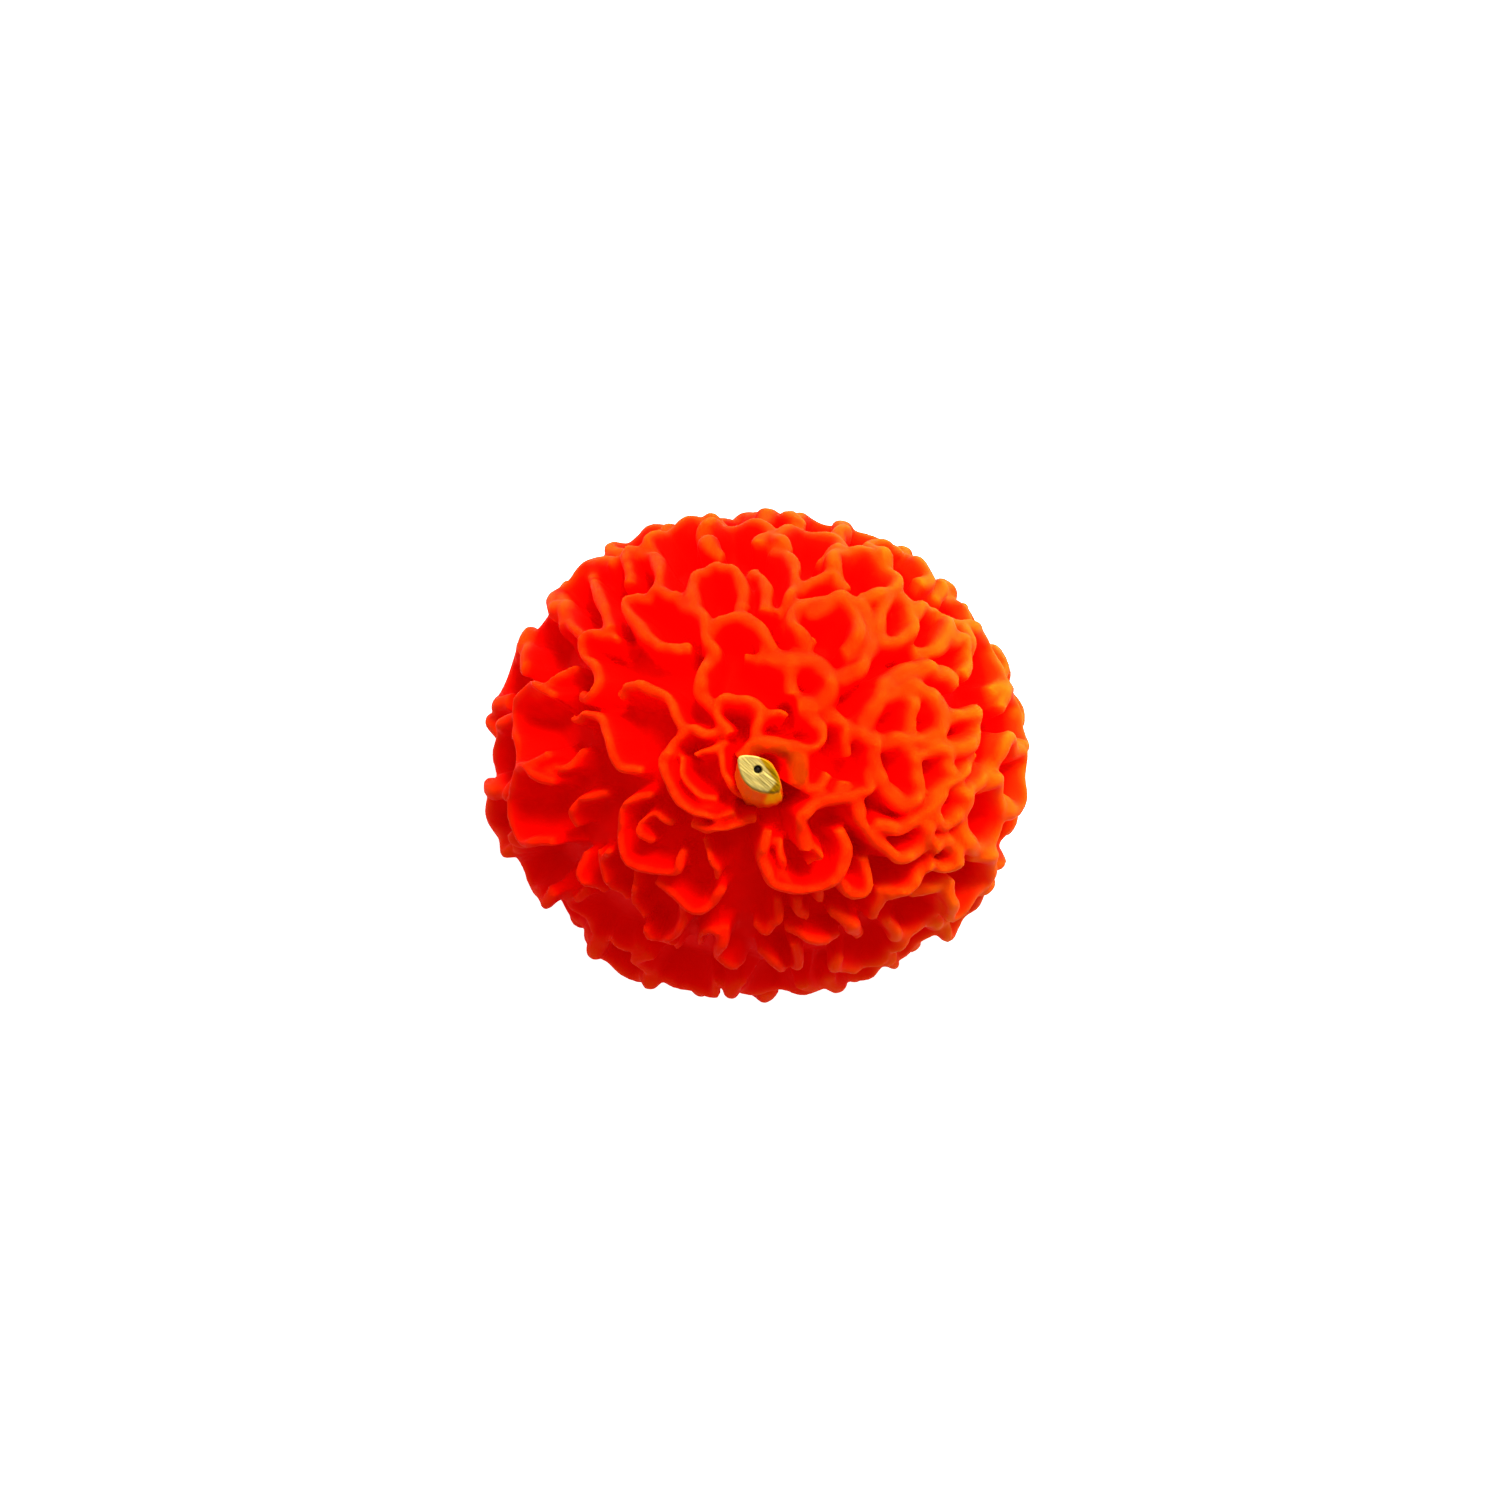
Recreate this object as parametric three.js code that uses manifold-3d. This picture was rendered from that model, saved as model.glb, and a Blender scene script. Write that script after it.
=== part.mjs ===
// A small candle cast in wax in the form of a double marigold bloom, with a waxed, cored wick.
// Millimetres, +Z up. The candle stands on z = 0, and the middle of its outline is near the Z axis.
// The bloom is one casting: a domed core, with petals that rise from it as ruffled cups, each open
// towards the crown. The wick runs the whole height and leans where it stands free.
import * as THREE from "three";
import { mergeVertices } from "three/addons/utils/BufferGeometryUtils.js";
import Module from "manifold-3d";

const wasm = await Module();
wasm.setup();

// Driving dimensions
const coreRadii = new THREE.Vector3(21.2, 19.1, 17.6); // half axes of the dome under the petals
const coreMiddle = 7.2; // height of the dome's widest level
const crownDrift = new THREE.Vector2(1.2, -2.2); // how far the crown stands off the outline's centre
const baseRadius = 20.4; // flat ring that the candle stands on
const baseRound = 1.0; // rounding of the base's edge
const dimple = { radius: 6.5, depth: 0.5 }; // shrink dimple where the wax set round the wick
const petalReach = 4.8; // from the core's surface to the rim
const petalWall = 1.05; // wall of a petal at its rim
const fineSwell = 1.4; // walls are this much thicker where the petals are small
const footSwell = 0.4; // how much thicker a wall is at its foot
const petalRoot = 1.6; // how deep a petal's foot sits in the core
const rimSpread = 1.22; // the shell that the rims lie on is this much larger than the core

// Folds round the crown, each a width and a line of points in mm from the crown, to the right and up,
// on the flat map of the shell that the rims lie on
const crownFolds = [
  // the torn film round the wick: a band over its top and a lobe on its right
  [1.3, [[-2.9, 4], [-1.7, 5], [-0.2, 5.3], [1.3, 4.9], [2.3, 4.3]]],
  [2.4, [[2.2, 4.8], [2.5, 3.6], [2.5, 2.4], [2.1, 1.6]]],
  // left of the wick
  [1, [[-4.2, 6.4], [-5.6, 6.3], [-7.2, 6.5], [-8.9, 5.4], [-9.8, 3.4], [-9.3, 1.2], [-7.8, -0.5],
    [-5.6, -1.2], [-3.4, -0.9]]],
  [0.9, [[-7.6, -2.2], [-5.5, -2.5], [-3.3, -1.9], [-1.4, -1.6]]],
  // above it
  [1, [[-4, 6.2], [-5, 8.2], [-3.8, 9.2], [-2.2, 9.2], [-1.1, 8.4], [-1.3, 6.8], [-1.3, 5.4]]],
  [1.1, [[3.4, 8.6], [4, 7.6], [4.5, 6.6], [4.3, 5.5], [3.4, 4.9], [1.8, 5.2], [0.2, 5.7], [-1.2, 5.6],
    [-2.2, 5]]],
  [2, [[2.4, 8.7], [4.3, 8.8], [5.4, 9.9], [5.4, 11.2], [4.3, 12.3], [2.4, 12.4], [0.6, 12.6],
    [-0.8, 13.2]]],
  [1, [[1.9, 12.4], [1.8, 10.8], [1.8, 9.6]]],
  [1.2, [[-5.5, 14.6], [-4.2, 15.7], [-2.6, 15.9], [-1.2, 15.3], [-0.2, 14.1], [0.8, 12.8]]],
  [1.2, [[-8.4, 17.8], [-7.2, 16.9], [-5.9, 15.6], [-5.6, 14], [-5.1, 13], [-5.9, 12], [-6.2, 10.8],
    [-6.4, 9.7], [-5.2, 8.5]]],
  [1.8, [[2.1, 15.3], [2.9, 16.4], [4.5, 16.8], [6.2, 17.2], [7.8, 17.2], [9, 16.2], [9.5, 14.5],
    [9.1, 12.8], [7.9, 11.5], [6.2, 10.9]]],
  // right of it
  [1.2, [[5.6, 8], [6.6, 7], [7.9, 6.2], [9.2, 5.3], [9.4, 4], [9.5, 2.8], [9.1, 1.7], [8.1, 0.8],
    [6.8, 0.4], [4.6, 0.1], [3.3, -0.4], [2.6, -1.2], [2.8, -2.6], [3.1, -4.2]]],
  [1, [[6.9, 6.6], [7.1, 5.3], [7.3, 4.1]]],
  [1.2, [[6.2, 0.5], [7, 1.9]]],
  [1, [[3.2, 1.4], [4.6, 1.7], [5.4, 2.7]]],
  [1.2, [[7.9, 0.4], [8.2, -1.5], [9.2, -3.1], [10.4, -4.5], [11.7, -5.5], [13.5, -5.4], [15, -4.6]]],
  [1.2, [[9.6, -2], [10.8, -2.6], [12.2, -2.7], [13.6, -2.1], [14.8, -1], [16.4, 0.2]]],
  [1.4, [[9.6, 2.9], [10.4, 1.4], [11.3, 0.2], [12.5, -0.5], [13.6, 0.2], [13.7, 1.8], [13.3, 3.4],
    [12.2, 4.9]]],
  [1.9, [[8.6, 6.7], [9.5, 8.3], [10.8, 9.3], [12.8, 9.6], [14.8, 8.8], [16, 7.3], [16.2, 5.7]]],
  [1.3, [[9.2, 5.5], [11, 5.3], [12.8, 5.3], [14.6, 5], [16.2, 5.5]]],
  [1.2, [[12.8, 9.2], [13.1, 7.6], [12.9, 5.8]]],
  [1.6, [[10.2, 9.6], [12, 10.8], [14, 11.2], [16.2, 10.5], [18.2, 9.6]]],
  // below it
  [1.2, [[-0.3, -2.6], [-0.8, -4.4], [-0.5, -6.2], [0.4, -7.7], [2, -8.4], [3.9, -8.3], [5.7, -7.6],
    [6.8, -6], [7.1, -4.4], [6.4, -2.7]]],
  [1.1, [[4.7, -8.6], [5.1, -10.5]]],
  [1, [[6.6, -7.9], [7.8, -9.2], [8.9, -9], [9.4, -7.8], [9.2, -5.9]]],
  [1, [[1.2, -10.5], [0.9, -12.3], [-0.1, -13.5], [-1.4, -13.3]]],
  [1, [[2.7, -10.2], [3.1, -11.8], [4.1, -12.8]]],
  [1.2, [[1.8, -14.2], [3.9, -14.3], [5.8, -15.1], [7.5, -15.4]]],
  [1.4, [[6.3, -12], [7.9, -13], [8.9, -14.2], [9.6, -15.6]]],
  [1.2, [[11.2, -9.2], [10.9, -11.2], [10.6, -13.2]]],
  [1.2, [[-4.3, -13.4], [-4.6, -15.4], [-4.9, -17.2]]],
  [0.9, [[-4.6, -13.8], [-6.4, -14.3], [-6.6, -16.4]]],
  [1, [[-11.2, -9], [-10.2, -9.3], [-9, -10.4], [-7.6, -11.2], [-6.3, -11.2], [-5.4, -10.3], [-4.7, -9]]],
  [1, [[-11.8, -14.2], [-11.4, -15.3], [-10.2, -15.6], [-9, -14.7], [-8.4, -13], [-8.6, -11.2]]],
  // and out to the left
  [0.9, [[-11.8, 0.3], [-13.7, -0.9], [-14.5, -2.8], [-14.3, -4.9], [-13.4, -7], [-10.9, -7.6],
    [-9, -7.2], [-8.5, -5.4]]],
  [1, [[-14.2, 9], [-13.2, 9.8], [-11.2, 9.8], [-9.6, 9.2], [-8.6, 8], [-8.2, 6.4]]],
  [1, [[-18.6, 6.4], [-16.8, 7], [-15.5, 6.6], [-14.9, 5.2], [-14.5, 3.6], [-13.7, 2.6], [-12.3, 2.5]]],
  [1.2, [[-7.3, 13.5], [-9.2, 13.4], [-10.9, 14], [-12.1, 15.1], [-12.8, 16.5], [-11.6, 17.4],
    [-9.9, 17.8], [-8.4, 17.8]]],
  [1.2, [[-14.1, 13.8], [-15.6, 14], [-17, 13.2], [-17.1, 11.8], [-16.1, 11], [-15.6, 10], [-16.1, 9],
    [-17, 8.4], [-18.3, 8.5]]],
  [0.9, [[-18.6, 3.8], [-19.2, 1.9], [-20.6, 1.5], [-22.2, 1]]],
  [0.9, [[-16.2, -0.5], [-18, -0.9], [-19.1, -2.4], [-19.1, -4.4]]],
  [0.9, [[-15.4, -5.8], [-16.3, -7.6], [-15.6, -9.6]]],
  [0.9, [[-18.6, -7.2], [-18, -9.6], [-16.4, -11.6]]],
  // the top edge
  [1.2, [[-6.8, 16.6], [-6.7, 18.6], [-5, 19.8], [-3.2, 19.6], [-2.1, 18.4], [-2.3, 16.8]]],
  [1.2, [[-1, 20.2], [-0.1, 19.2], [0, 17.8], [-0.2, 16.4]]],
  [1.3, [[0.9, 16.4], [2.2, 17.4], [2.9, 18.8], [2.6, 20.6], [1.2, 21.6]]],
  [1.2, [[2.9, 18.3], [4.7, 18.9], [6.6, 18.9], [7.8, 18]]],
  [1.2, [[-12.9, 18.4], [-12.4, 20], [-10.9, 20.6], [-9.7, 19.6], [-9.9, 18]]],
  [1.2, [[-16.5, 18.2], [-15.4, 16.6], [-14.6, 14.4]]],
  [1.2, [[-17.2, 13.3], [-18.4, 14.2], [-19.8, 14.8]]],
  [1, [[-18.2, 10.9], [-19.4, 10.2], [-20.4, 8.9], [-21.9, 8]]],
  // small round cups on the right
  [1.5, [[10.6, 14.2], [10.7, 16.2], [12.2, 17.1], [13.6, 16.1], [13.5, 14.4], [12.1, 13.6],
    [10.5, 13.9]]],
  [1.5, [[13.7, 14.8], [14.9, 15.9], [16.7, 15.3], [17.2, 13.7], [16, 12.6], [14.2, 12.8]]],
  [1.4, [[17.2, 13.4], [18.9, 12.6], [19.6, 11.2], [18.6, 10]]],
  [1.4, [[16.2, 6.9], [18.2, 6.7], [20.4, 6.3]]],
  [1.4, [[16.2, 4.9], [17.2, 3.9], [18.9, 4], [19.7, 5.2], [19.3, 6.4]]],
  [1.4, [[13.4, 3.6], [15.2, 4.2], [16.7, 3.4], [16.7, 1.9], [17.8, 1]]],
  [1.4, [[14.8, -0.8], [16.2, 0.7], [18.2, 1.6], [20.2, 3]]],
  [1.4, [[15.4, -0.2], [15.2, -1.8], [16.5, -3], [18.1, -2.2], [18.4, -0.6], [17.2, 0.8]]],
  [1.3, [[18.6, 0], [20.2, 0.2], [21.8, 1.4]]],
  [1.2, [[13.9, -2], [14.6, -3.5], [14.6, -5.2]]],
  [1.3, [[15.1, -5], [16.6, -4.7], [17.9, -5.8], [17.4, -7.3], [16, -7.5], [14.9, -6.6]]],
  [1.3, [[11.4, -9.9], [13.2, -8.9], [14.9, -7.4]]],
  // the bottom edge
  [1.2, [[-0.9, -17], [0.6, -17.5], [1.8, -18.8]]],
  [1.1, [[2.5, -15.4], [3.4, -17.2], [2.9, -18.8]]],
  [1.2, [[-4.9, -17], [-3.4, -18.1], [-2.2, -19.4]]],
  [1.2, [[-9.3, -15.6], [-9, -17.6]]],
];
// Their free ends drop by a share of the shell over the last millimetres, and their feet are sunk to
// a share of the dome. Petals past them keep clear of them by a share of their own spacing.
const foldShape = { tipDrop: 0.07, tipLength: 2.0, root: 0.9, segment: 2.6, clear: 0.56 };
// Past the folds petals fill the dome wherever there is room, smaller and rounder on one side
const outerPetals = {
  firstTilt: 35,
  lastTilt: 101,
  wide: 4.8,
  narrow: 4.0,
  fineBearing: 35,
  tries: 6000,
};
const petalSeed = 3;
const petalSteps = { top: 6, side: 5, sideTilt: 70 }; // facets along a rim

const wick = {
  radius: 1.35,
  freeRise: 6.6, // from the crown of the core to the cut tip
  foot: new THREE.Vector2(-0.6, 0.9), // where it leaves the wax, off the crown
  lean: new THREE.Vector2(-0.35, 1.8), // how far the tip stands off the foot of the free end
  tipHalfLength: 2.4, // the free end is pinched to an almond
  tipHalfWidth: 1.35,
  tipTurn: -41, // heading of the almond's long axis
  coreRadius: 0.4,
};
const pieceGap = 0.25; // between wax and wick, and between wick and its core

const rad = THREE.MathUtils.degToRad;
const coreTop = coreMiddle + coreRadii.z;
const wickTop = coreTop + wick.freeRise;

// Park-Miller draws from -1 to 1: the same seed always gives the same bloom
function drawsFrom(seed) {
  let state = seed;
  return () => {
    state = (state * 48271) % 2147483647;
    return (2 * state) / 2147483647 - 1;
  };
}

function solidOf(geometry) {
  geometry.deleteAttribute("normal");
  geometry.deleteAttribute("uv");
  const merged = mergeVertices(geometry, 1e-4);
  return new wasm.Manifold(
    new wasm.Mesh({
      numProp: 3,
      vertProperties: merged.attributes.position.array,
      triVerts: new Uint32Array(merged.index.array),
    }),
  );
}

function solidFrom(points, triangles) {
  const geometry = new THREE.BufferGeometry();
  geometry.setAttribute("position", new THREE.Float32BufferAttribute(points, 3));
  geometry.setIndex(triangles);
  return solidOf(geometry);
}

function geometryOf(solid) {
  const mesh = solid.getMesh();
  const geometry = new THREE.BufferGeometry();
  geometry.setAttribute("position", new THREE.BufferAttribute(mesh.vertProperties, 3));
  geometry.setIndex(new THREE.BufferAttribute(mesh.triVerts, 1));
  return geometry;
}

// The crown stands a little to one side, so each level above the widest one is moved along with it
function drift(point) {
  const share = Math.max(0, (point.z - coreMiddle) / coreRadii.z);
  point.x += crownDrift.x * share;
  point.y += crownDrift.y * share;
  return point;
}

// The unit direction at a tilt from +Z and a bearing from +X
function directionAt(tilt, bearing) {
  return new THREE.Vector3(
    Math.sin(rad(tilt)) * Math.cos(rad(bearing)),
    Math.sin(rad(tilt)) * Math.sin(rad(bearing)),
    Math.cos(rad(tilt)),
  );
}

// The point of the dome in that direction
function domePoint(outward) {
  const point = outward.clone().multiply(coreRadii);
  point.z += coreMiddle;
  return drift(point);
}

// The dome and its flat base, turned about the axis and then set over to one side
function coreSolid() {
  const profile = [
    new THREE.Vector2(0, dimple.depth),
    new THREE.Vector2(dimple.radius * 0.5, dimple.depth * 0.75),
    new THREE.Vector2(dimple.radius, 0),
    new THREE.Vector2(baseRadius, 0),
    new THREE.Vector2(baseRadius + baseRound, baseRound),
    new THREE.Vector2(coreRadii.x, coreMiddle),
  ];
  const domeSteps = 6;
  for (let i = 1; i < domeSteps; i++) {
    const outward = directionAt(90 - (90 * i) / domeSteps, 0).multiply(coreRadii);
    profile.push(new THREE.Vector2(outward.x, coreMiddle + outward.z));
  }
  profile.push(new THREE.Vector2(0, coreTop));
  const sides = 24;
  const lathe = new THREE.LatheGeometry(profile, sides);
  lathe.rotateX(Math.PI / 2); // three.js turns a profile about +Y
  lathe.scale(1, coreRadii.y / coreRadii.x, 1);
  const position = lathe.attributes.position;
  const point = new THREE.Vector3();
  for (let i = 0; i < position.count; i++) {
    drift(point.fromBufferAttribute(position, i));
    position.setXYZ(i, point.x, point.y, point.z);
  }
  return solidOf(lathe);
}

// From the flat map to the shell that is level times the size of the dome
function mapPoint({ x, y }, level) {
  const u = x / (coreRadii.x * rimSpread);
  const v = y / (coreRadii.y * rimSpread);
  const outward = new THREE.Vector3(u, v, Math.sqrt(Math.max(0, 1 - u * u - v * v)));
  return domePoint(outward.multiplyScalar(level));
}

// Every petal's place past the folds: each draw that lands clear of them and of the ones before it
function petalPlaces(draw, taken) {
  const { firstTilt, lastTilt, wide, narrow, fineBearing, tries } = outerPetals;
  const first = Math.cos(rad(firstTilt));
  const last = Math.cos(rad(lastTilt));
  const places = [];
  for (let i = 0; i < tries; i++) {
    const level = (first + last + (first - last) * draw()) / 2;
    const tilt = THREE.MathUtils.radToDeg(Math.acos(level));
    const bearing = 180 * draw();
    const root = domePoint(directionAt(tilt, bearing));
    const toFine = Math.cos(rad(bearing - fineBearing)) * Math.sin(rad(tilt));
    const fineness = THREE.MathUtils.smoothstep(toFine, -0.5, 0.6);
    const spacing = THREE.MathUtils.lerp(wide, narrow, fineness);
    if (places.some((other) => other.root.distanceTo(root) < spacing)) continue;
    if (taken.some((other) => other.distanceTo(root) < foldShape.clear * spacing)) continue;
    const cup = 0.88 * spacing * (1 + 0.12 * draw());
    places.push({ tilt, bearing, root, fineness, cup, mouth: 25 * draw() });
  }
  return places;
}

// A petal's own numbers, drawn in a fixed order
function petalShape(place, draw) {
  const { lerp } = THREE.MathUtils;
  return {
    ...place,
    reach: petalReach * (1 + 0.13 * draw()),
    sweep: lerp(122, 148, place.fineness) + 16 * draw(), // half of the angle that the cup wraps round
    lean: 13 + 8 * draw(), // of its axis, away from the crown
    curl: 0.1 + 0.1 * draw(), // how far the two ends roll in
    waves: 2.2 + 0.8 * draw(), // ruffles along the rim
    waveDepth: lerp(0.35, 0.2, place.fineness) + 0.15 * draw(),
    wavePhase: Math.PI * draw(),
  };
}

// How far a cup reaches in a direction before it meets its neighbours halfway, with rounded corners
function cellRadius(neighbours, turn, largest) {
  const sharpness = 8;
  let sum = Math.pow(largest, -sharpness);
  for (const { x, y } of neighbours) {
    const facing = x * Math.sin(turn) + y * Math.cos(turn);
    if (facing > 0) sum += Math.pow((2 * facing) / (rimSpread * (x * x + y * y)), sharpness);
  }
  return Math.pow(sum, -1 / sharpness);
}

// A function of (across -1..1, up 0..1) that gives a point on the middle of the petal's wall
function petalSurface(shape, places, taken) {
  const { root } = shape;
  const normal = directionAt(shape.tilt, shape.bearing).divide(coreRadii).normalize();
  const side = new THREE.Vector3(-normal.y, normal.x, 0).normalize();
  side.applyAxisAngle(normal, rad(shape.mouth));
  const axis = normal.clone().applyAxisAngle(side, rad(shape.lean));
  const back = side.clone().cross(axis); // away from the petal's mouth
  const seen = (away) => new THREE.Vector2(away.dot(side), away.dot(back));
  const neighbours = places
    .filter((other) => other.root !== root && other.root.distanceTo(root) < 12)
    .map((other) => seen(other.root.clone().sub(root)));
  for (const fold of taken.filter((other) => other.distanceTo(root) < 6)) {
    neighbours.push(seen(fold.clone().sub(root)).multiplyScalar(2));
  }
  return (across, up) => {
    const turn = rad(shape.sweep) * across;
    const cell = cellRadius(neighbours, turn, shape.cup);
    const cup =
      cell * (0.68 + 0.32 * up) * (1 - shape.curl * across * across * up) +
      shape.waveDepth * up * up * Math.sin(shape.waves * Math.PI * across + shape.wavePhase);
    const height = -petalRoot + (shape.reach + petalRoot) * up * (1 - 0.12 * across * across);
    return root
      .clone()
      .addScaledVector(axis, height)
      .addScaledVector(side, cup * Math.sin(turn))
      .addScaledVector(back, cup * Math.cos(turn));
  };
}

// A fold's surface, likewise: it stands on the dome along a smooth line through its points
function foldSurface(points, length) {
  const line = new THREE.SplineCurve(points);
  return (across, up) => {
    const share = THREE.MathUtils.clamp((across + 1) / 2, 0, 1);
    const end = Math.min(share, 1 - share) * length;
    const dropped = 1 - THREE.MathUtils.smoothstep(end, 0, foldShape.tipLength);
    const top = rimSpread - foldShape.tipDrop * dropped;
    return mapPoint(line.getPoint(share), THREE.MathUtils.lerp(foldShape.root, top, up));
  };
}

// A wall: its two faces are offset from its middle and closed round the edges
function wallSolid(surface, steps, width) {
  const probe = 0.02;
  const points = [];
  for (const face of [1, -1])
    for (const up of [0, 1])
      for (let i = 0; i <= steps; i++) {
        const across = -1 + (2 * i) / steps;
        const along = surface(across + probe, up).sub(surface(across - probe, up));
        const rise = surface(across, 1).sub(surface(across, 0));
        const half = (face * (width + footSwell * (1 - up))) / 2;
        points.push(...surface(across, up).addScaledVector(along.cross(rise).normalize(), half));
      }
  const columns = steps + 1;
  const foot = 0;
  const rim = columns;
  const innerFoot = 2 * columns;
  const innerRim = 3 * columns;
  const triangles = [];
  const quad = (a, b, c, d) => triangles.push(a, b, c, a, c, d);
  for (let i = 0; i < steps; i++) {
    quad(foot + i, foot + i + 1, rim + i + 1, rim + i);
    triangles.push(innerFoot + i, innerRim + i + 1, innerFoot + i + 1);
    triangles.push(innerFoot + i, innerRim + i, innerRim + i + 1);
    quad(innerFoot + i, innerFoot + i + 1, foot + i + 1, foot + i);
    quad(rim + i, rim + i + 1, innerRim + i + 1, innerRim + i);
  }
  quad(innerFoot, foot, rim, innerRim);
  quad(foot + steps, innerFoot + steps, innerRim + steps, rim + steps);
  return solidFrom(points, triangles);
}

// The wick's line: straight up through the wax, then leaning where it stands free
function wickLine(height) {
  const inWax = Math.min(height, coreTop) / coreTop;
  const free = Math.max(0, height - coreTop) / wick.freeRise;
  return new THREE.Vector3(
    (crownDrift.x + wick.foot.x) * inWax + wick.lean.x * free,
    (crownDrift.y + wick.foot.y) * inWax + wick.lean.y * free,
    height,
  );
}

// A rod along the wick's line, with a section that goes from round to the pinched almond at the tip
function wickRod(radius, bottom, top, pinched) {
  const sides = 12;
  const bend = coreTop - 1;
  const freeSteps = 4;
  const levels = [bottom, bend];
  for (let i = 1; i <= freeSteps; i++) levels.push(bend + ((wickTop - bend) * i) / freeSteps);
  if (top > wickTop) levels.push(top);
  const heading = rad(wick.tipTurn);
  const margin = radius - wick.radius;
  const points = [];
  for (const level of levels) {
    const centre = wickLine(level);
    const free = Math.max(0, (level - coreTop) / wick.freeRise);
    const pinch = pinched ? THREE.MathUtils.smoothstep(free, -0.1, 0.5) : 0;
    for (let i = 0; i < sides; i++) {
      const turn = (2 * Math.PI * i) / sides;
      const long = THREE.MathUtils.lerp(radius, wick.tipHalfLength + margin, pinch) * Math.cos(turn);
      const wide = THREE.MathUtils.lerp(radius, wick.tipHalfWidth + margin, pinch) * Math.sin(turn);
      points.push(
        centre.x + long * Math.cos(heading) - wide * Math.sin(heading),
        centre.y + long * Math.sin(heading) + wide * Math.cos(heading),
        centre.z,
      );
    }
  }
  const bottomCentre = points.length / 3;
  points.push(...wickLine(bottom), ...wickLine(top));
  const last = (levels.length - 1) * sides;
  const triangles = [];
  for (let i = 0; i < sides; i++) {
    const next = (i + 1) % sides;
    for (let j = 0; j < last; j += sides) {
      triangles.push(j + i, j + next, j + sides + next, j + i, j + sides + next, j + sides + i);
    }
    triangles.push(bottomCentre, next, i, bottomCentre + 1, last + i, last + next);
  }
  return solidFrom(points, triangles);
}

// The core with its folds and petals, cut off level at the base
function bloomSolid() {
  const draw = drawsFrom(petalSeed);
  const folds = crownFolds.map(([width, points]) => ({
    width,
    points: points.map(([x, y]) => new THREE.Vector2(x, y)),
  }));
  const taken = folds.flatMap(({ points }) => points.map((point) => mapPoint(point, 1)));
  const places = petalPlaces(draw, taken);
  let solid = coreSolid();
  for (const place of places) {
    const surface = petalSurface(petalShape(place, draw), places, taken);
    const steps = place.tilt < petalSteps.sideTilt ? petalSteps.top : petalSteps.side;
    const width = petalWall * THREE.MathUtils.lerp(1, fineSwell, place.fineness);
    solid = solid.add(wallSolid(surface, steps, width));
  }
  for (const { width, points } of folds) {
    let length = 0;
    for (let i = 1; i < points.length; i++) length += points[i].distanceTo(points[i - 1]);
    const steps = Math.max(2, Math.round(length / foldShape.segment));
    solid = solid.add(wallSolid(foldSurface(points, length), steps, width));
  }
  const ground = new THREE.BoxGeometry(100, 100, 10);
  ground.translate(0, 0, -5);
  return solid.subtract(solidOf(ground));
}

// The outer skin of a fused solid: loose scraps are dropped and sealed hollows are filled
function outerSkin(solid) {
  return solid.decompose().reduce((a, b) => (b.volume() > a.volume() ? b : a));
}

const past = 2; // what cuts a bore reaches this far past both ends
const bore = wickRod(wick.radius + pieceGap, -past, wickTop + past, true);
const bloom = outerSkin(bloomSolid().subtract(bore));
const coreBore = wickRod(wick.coreRadius + pieceGap, -past, wickTop + past, false);
const wickSleeve = wickRod(wick.radius, 0, wickTop, true).subtract(coreBore);
const wickCore = wickRod(wick.coreRadius, 0, wickTop, false);

const wax = new THREE.MeshStandardMaterial({ color: 0xff3b08, roughness: 0.5, metalness: 0 });
const waxedCotton = new THREE.MeshStandardMaterial({ color: 0xe8cf86, roughness: 0.6, metalness: 0 });
const darkCore = new THREE.MeshStandardMaterial({ color: 0x1a1712, roughness: 0.8, metalness: 0 });

function piece(name, solid, material) {
  const mesh = new THREE.Mesh(geometryOf(solid), material);
  mesh.name = name;
  return mesh;
}

const candle = new THREE.Group();
candle.add(
  piece("wax_bloom", bloom, wax),
  piece("wick", wickSleeve, waxedCotton),
  piece("wick_core", wickCore, darkCore),
);

export default candle;
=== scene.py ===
# A small candle cast in orange-red wax as a double marigold bloom, with a waxed, cored wick
import math

import bmesh
import bpy
from mathutils import Matrix, Quaternion, Vector, kdtree, noise


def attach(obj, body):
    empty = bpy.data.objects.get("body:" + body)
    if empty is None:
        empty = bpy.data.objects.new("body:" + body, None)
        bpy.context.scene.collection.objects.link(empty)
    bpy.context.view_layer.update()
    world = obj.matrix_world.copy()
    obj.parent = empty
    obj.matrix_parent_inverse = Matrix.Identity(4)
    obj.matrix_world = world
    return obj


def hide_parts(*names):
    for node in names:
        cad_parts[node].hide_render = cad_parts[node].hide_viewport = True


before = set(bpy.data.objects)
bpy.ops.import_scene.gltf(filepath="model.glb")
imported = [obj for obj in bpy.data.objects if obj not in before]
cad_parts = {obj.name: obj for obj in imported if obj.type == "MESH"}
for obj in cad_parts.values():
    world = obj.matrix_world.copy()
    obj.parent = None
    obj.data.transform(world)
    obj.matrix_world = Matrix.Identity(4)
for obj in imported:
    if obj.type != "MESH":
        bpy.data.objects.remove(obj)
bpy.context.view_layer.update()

scene = bpy.context.scene

# Shapes are worked out in millimetres, and each finished mesh is brought to metres
toMetres = Matrix.Scale(0.001, 4)

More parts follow.
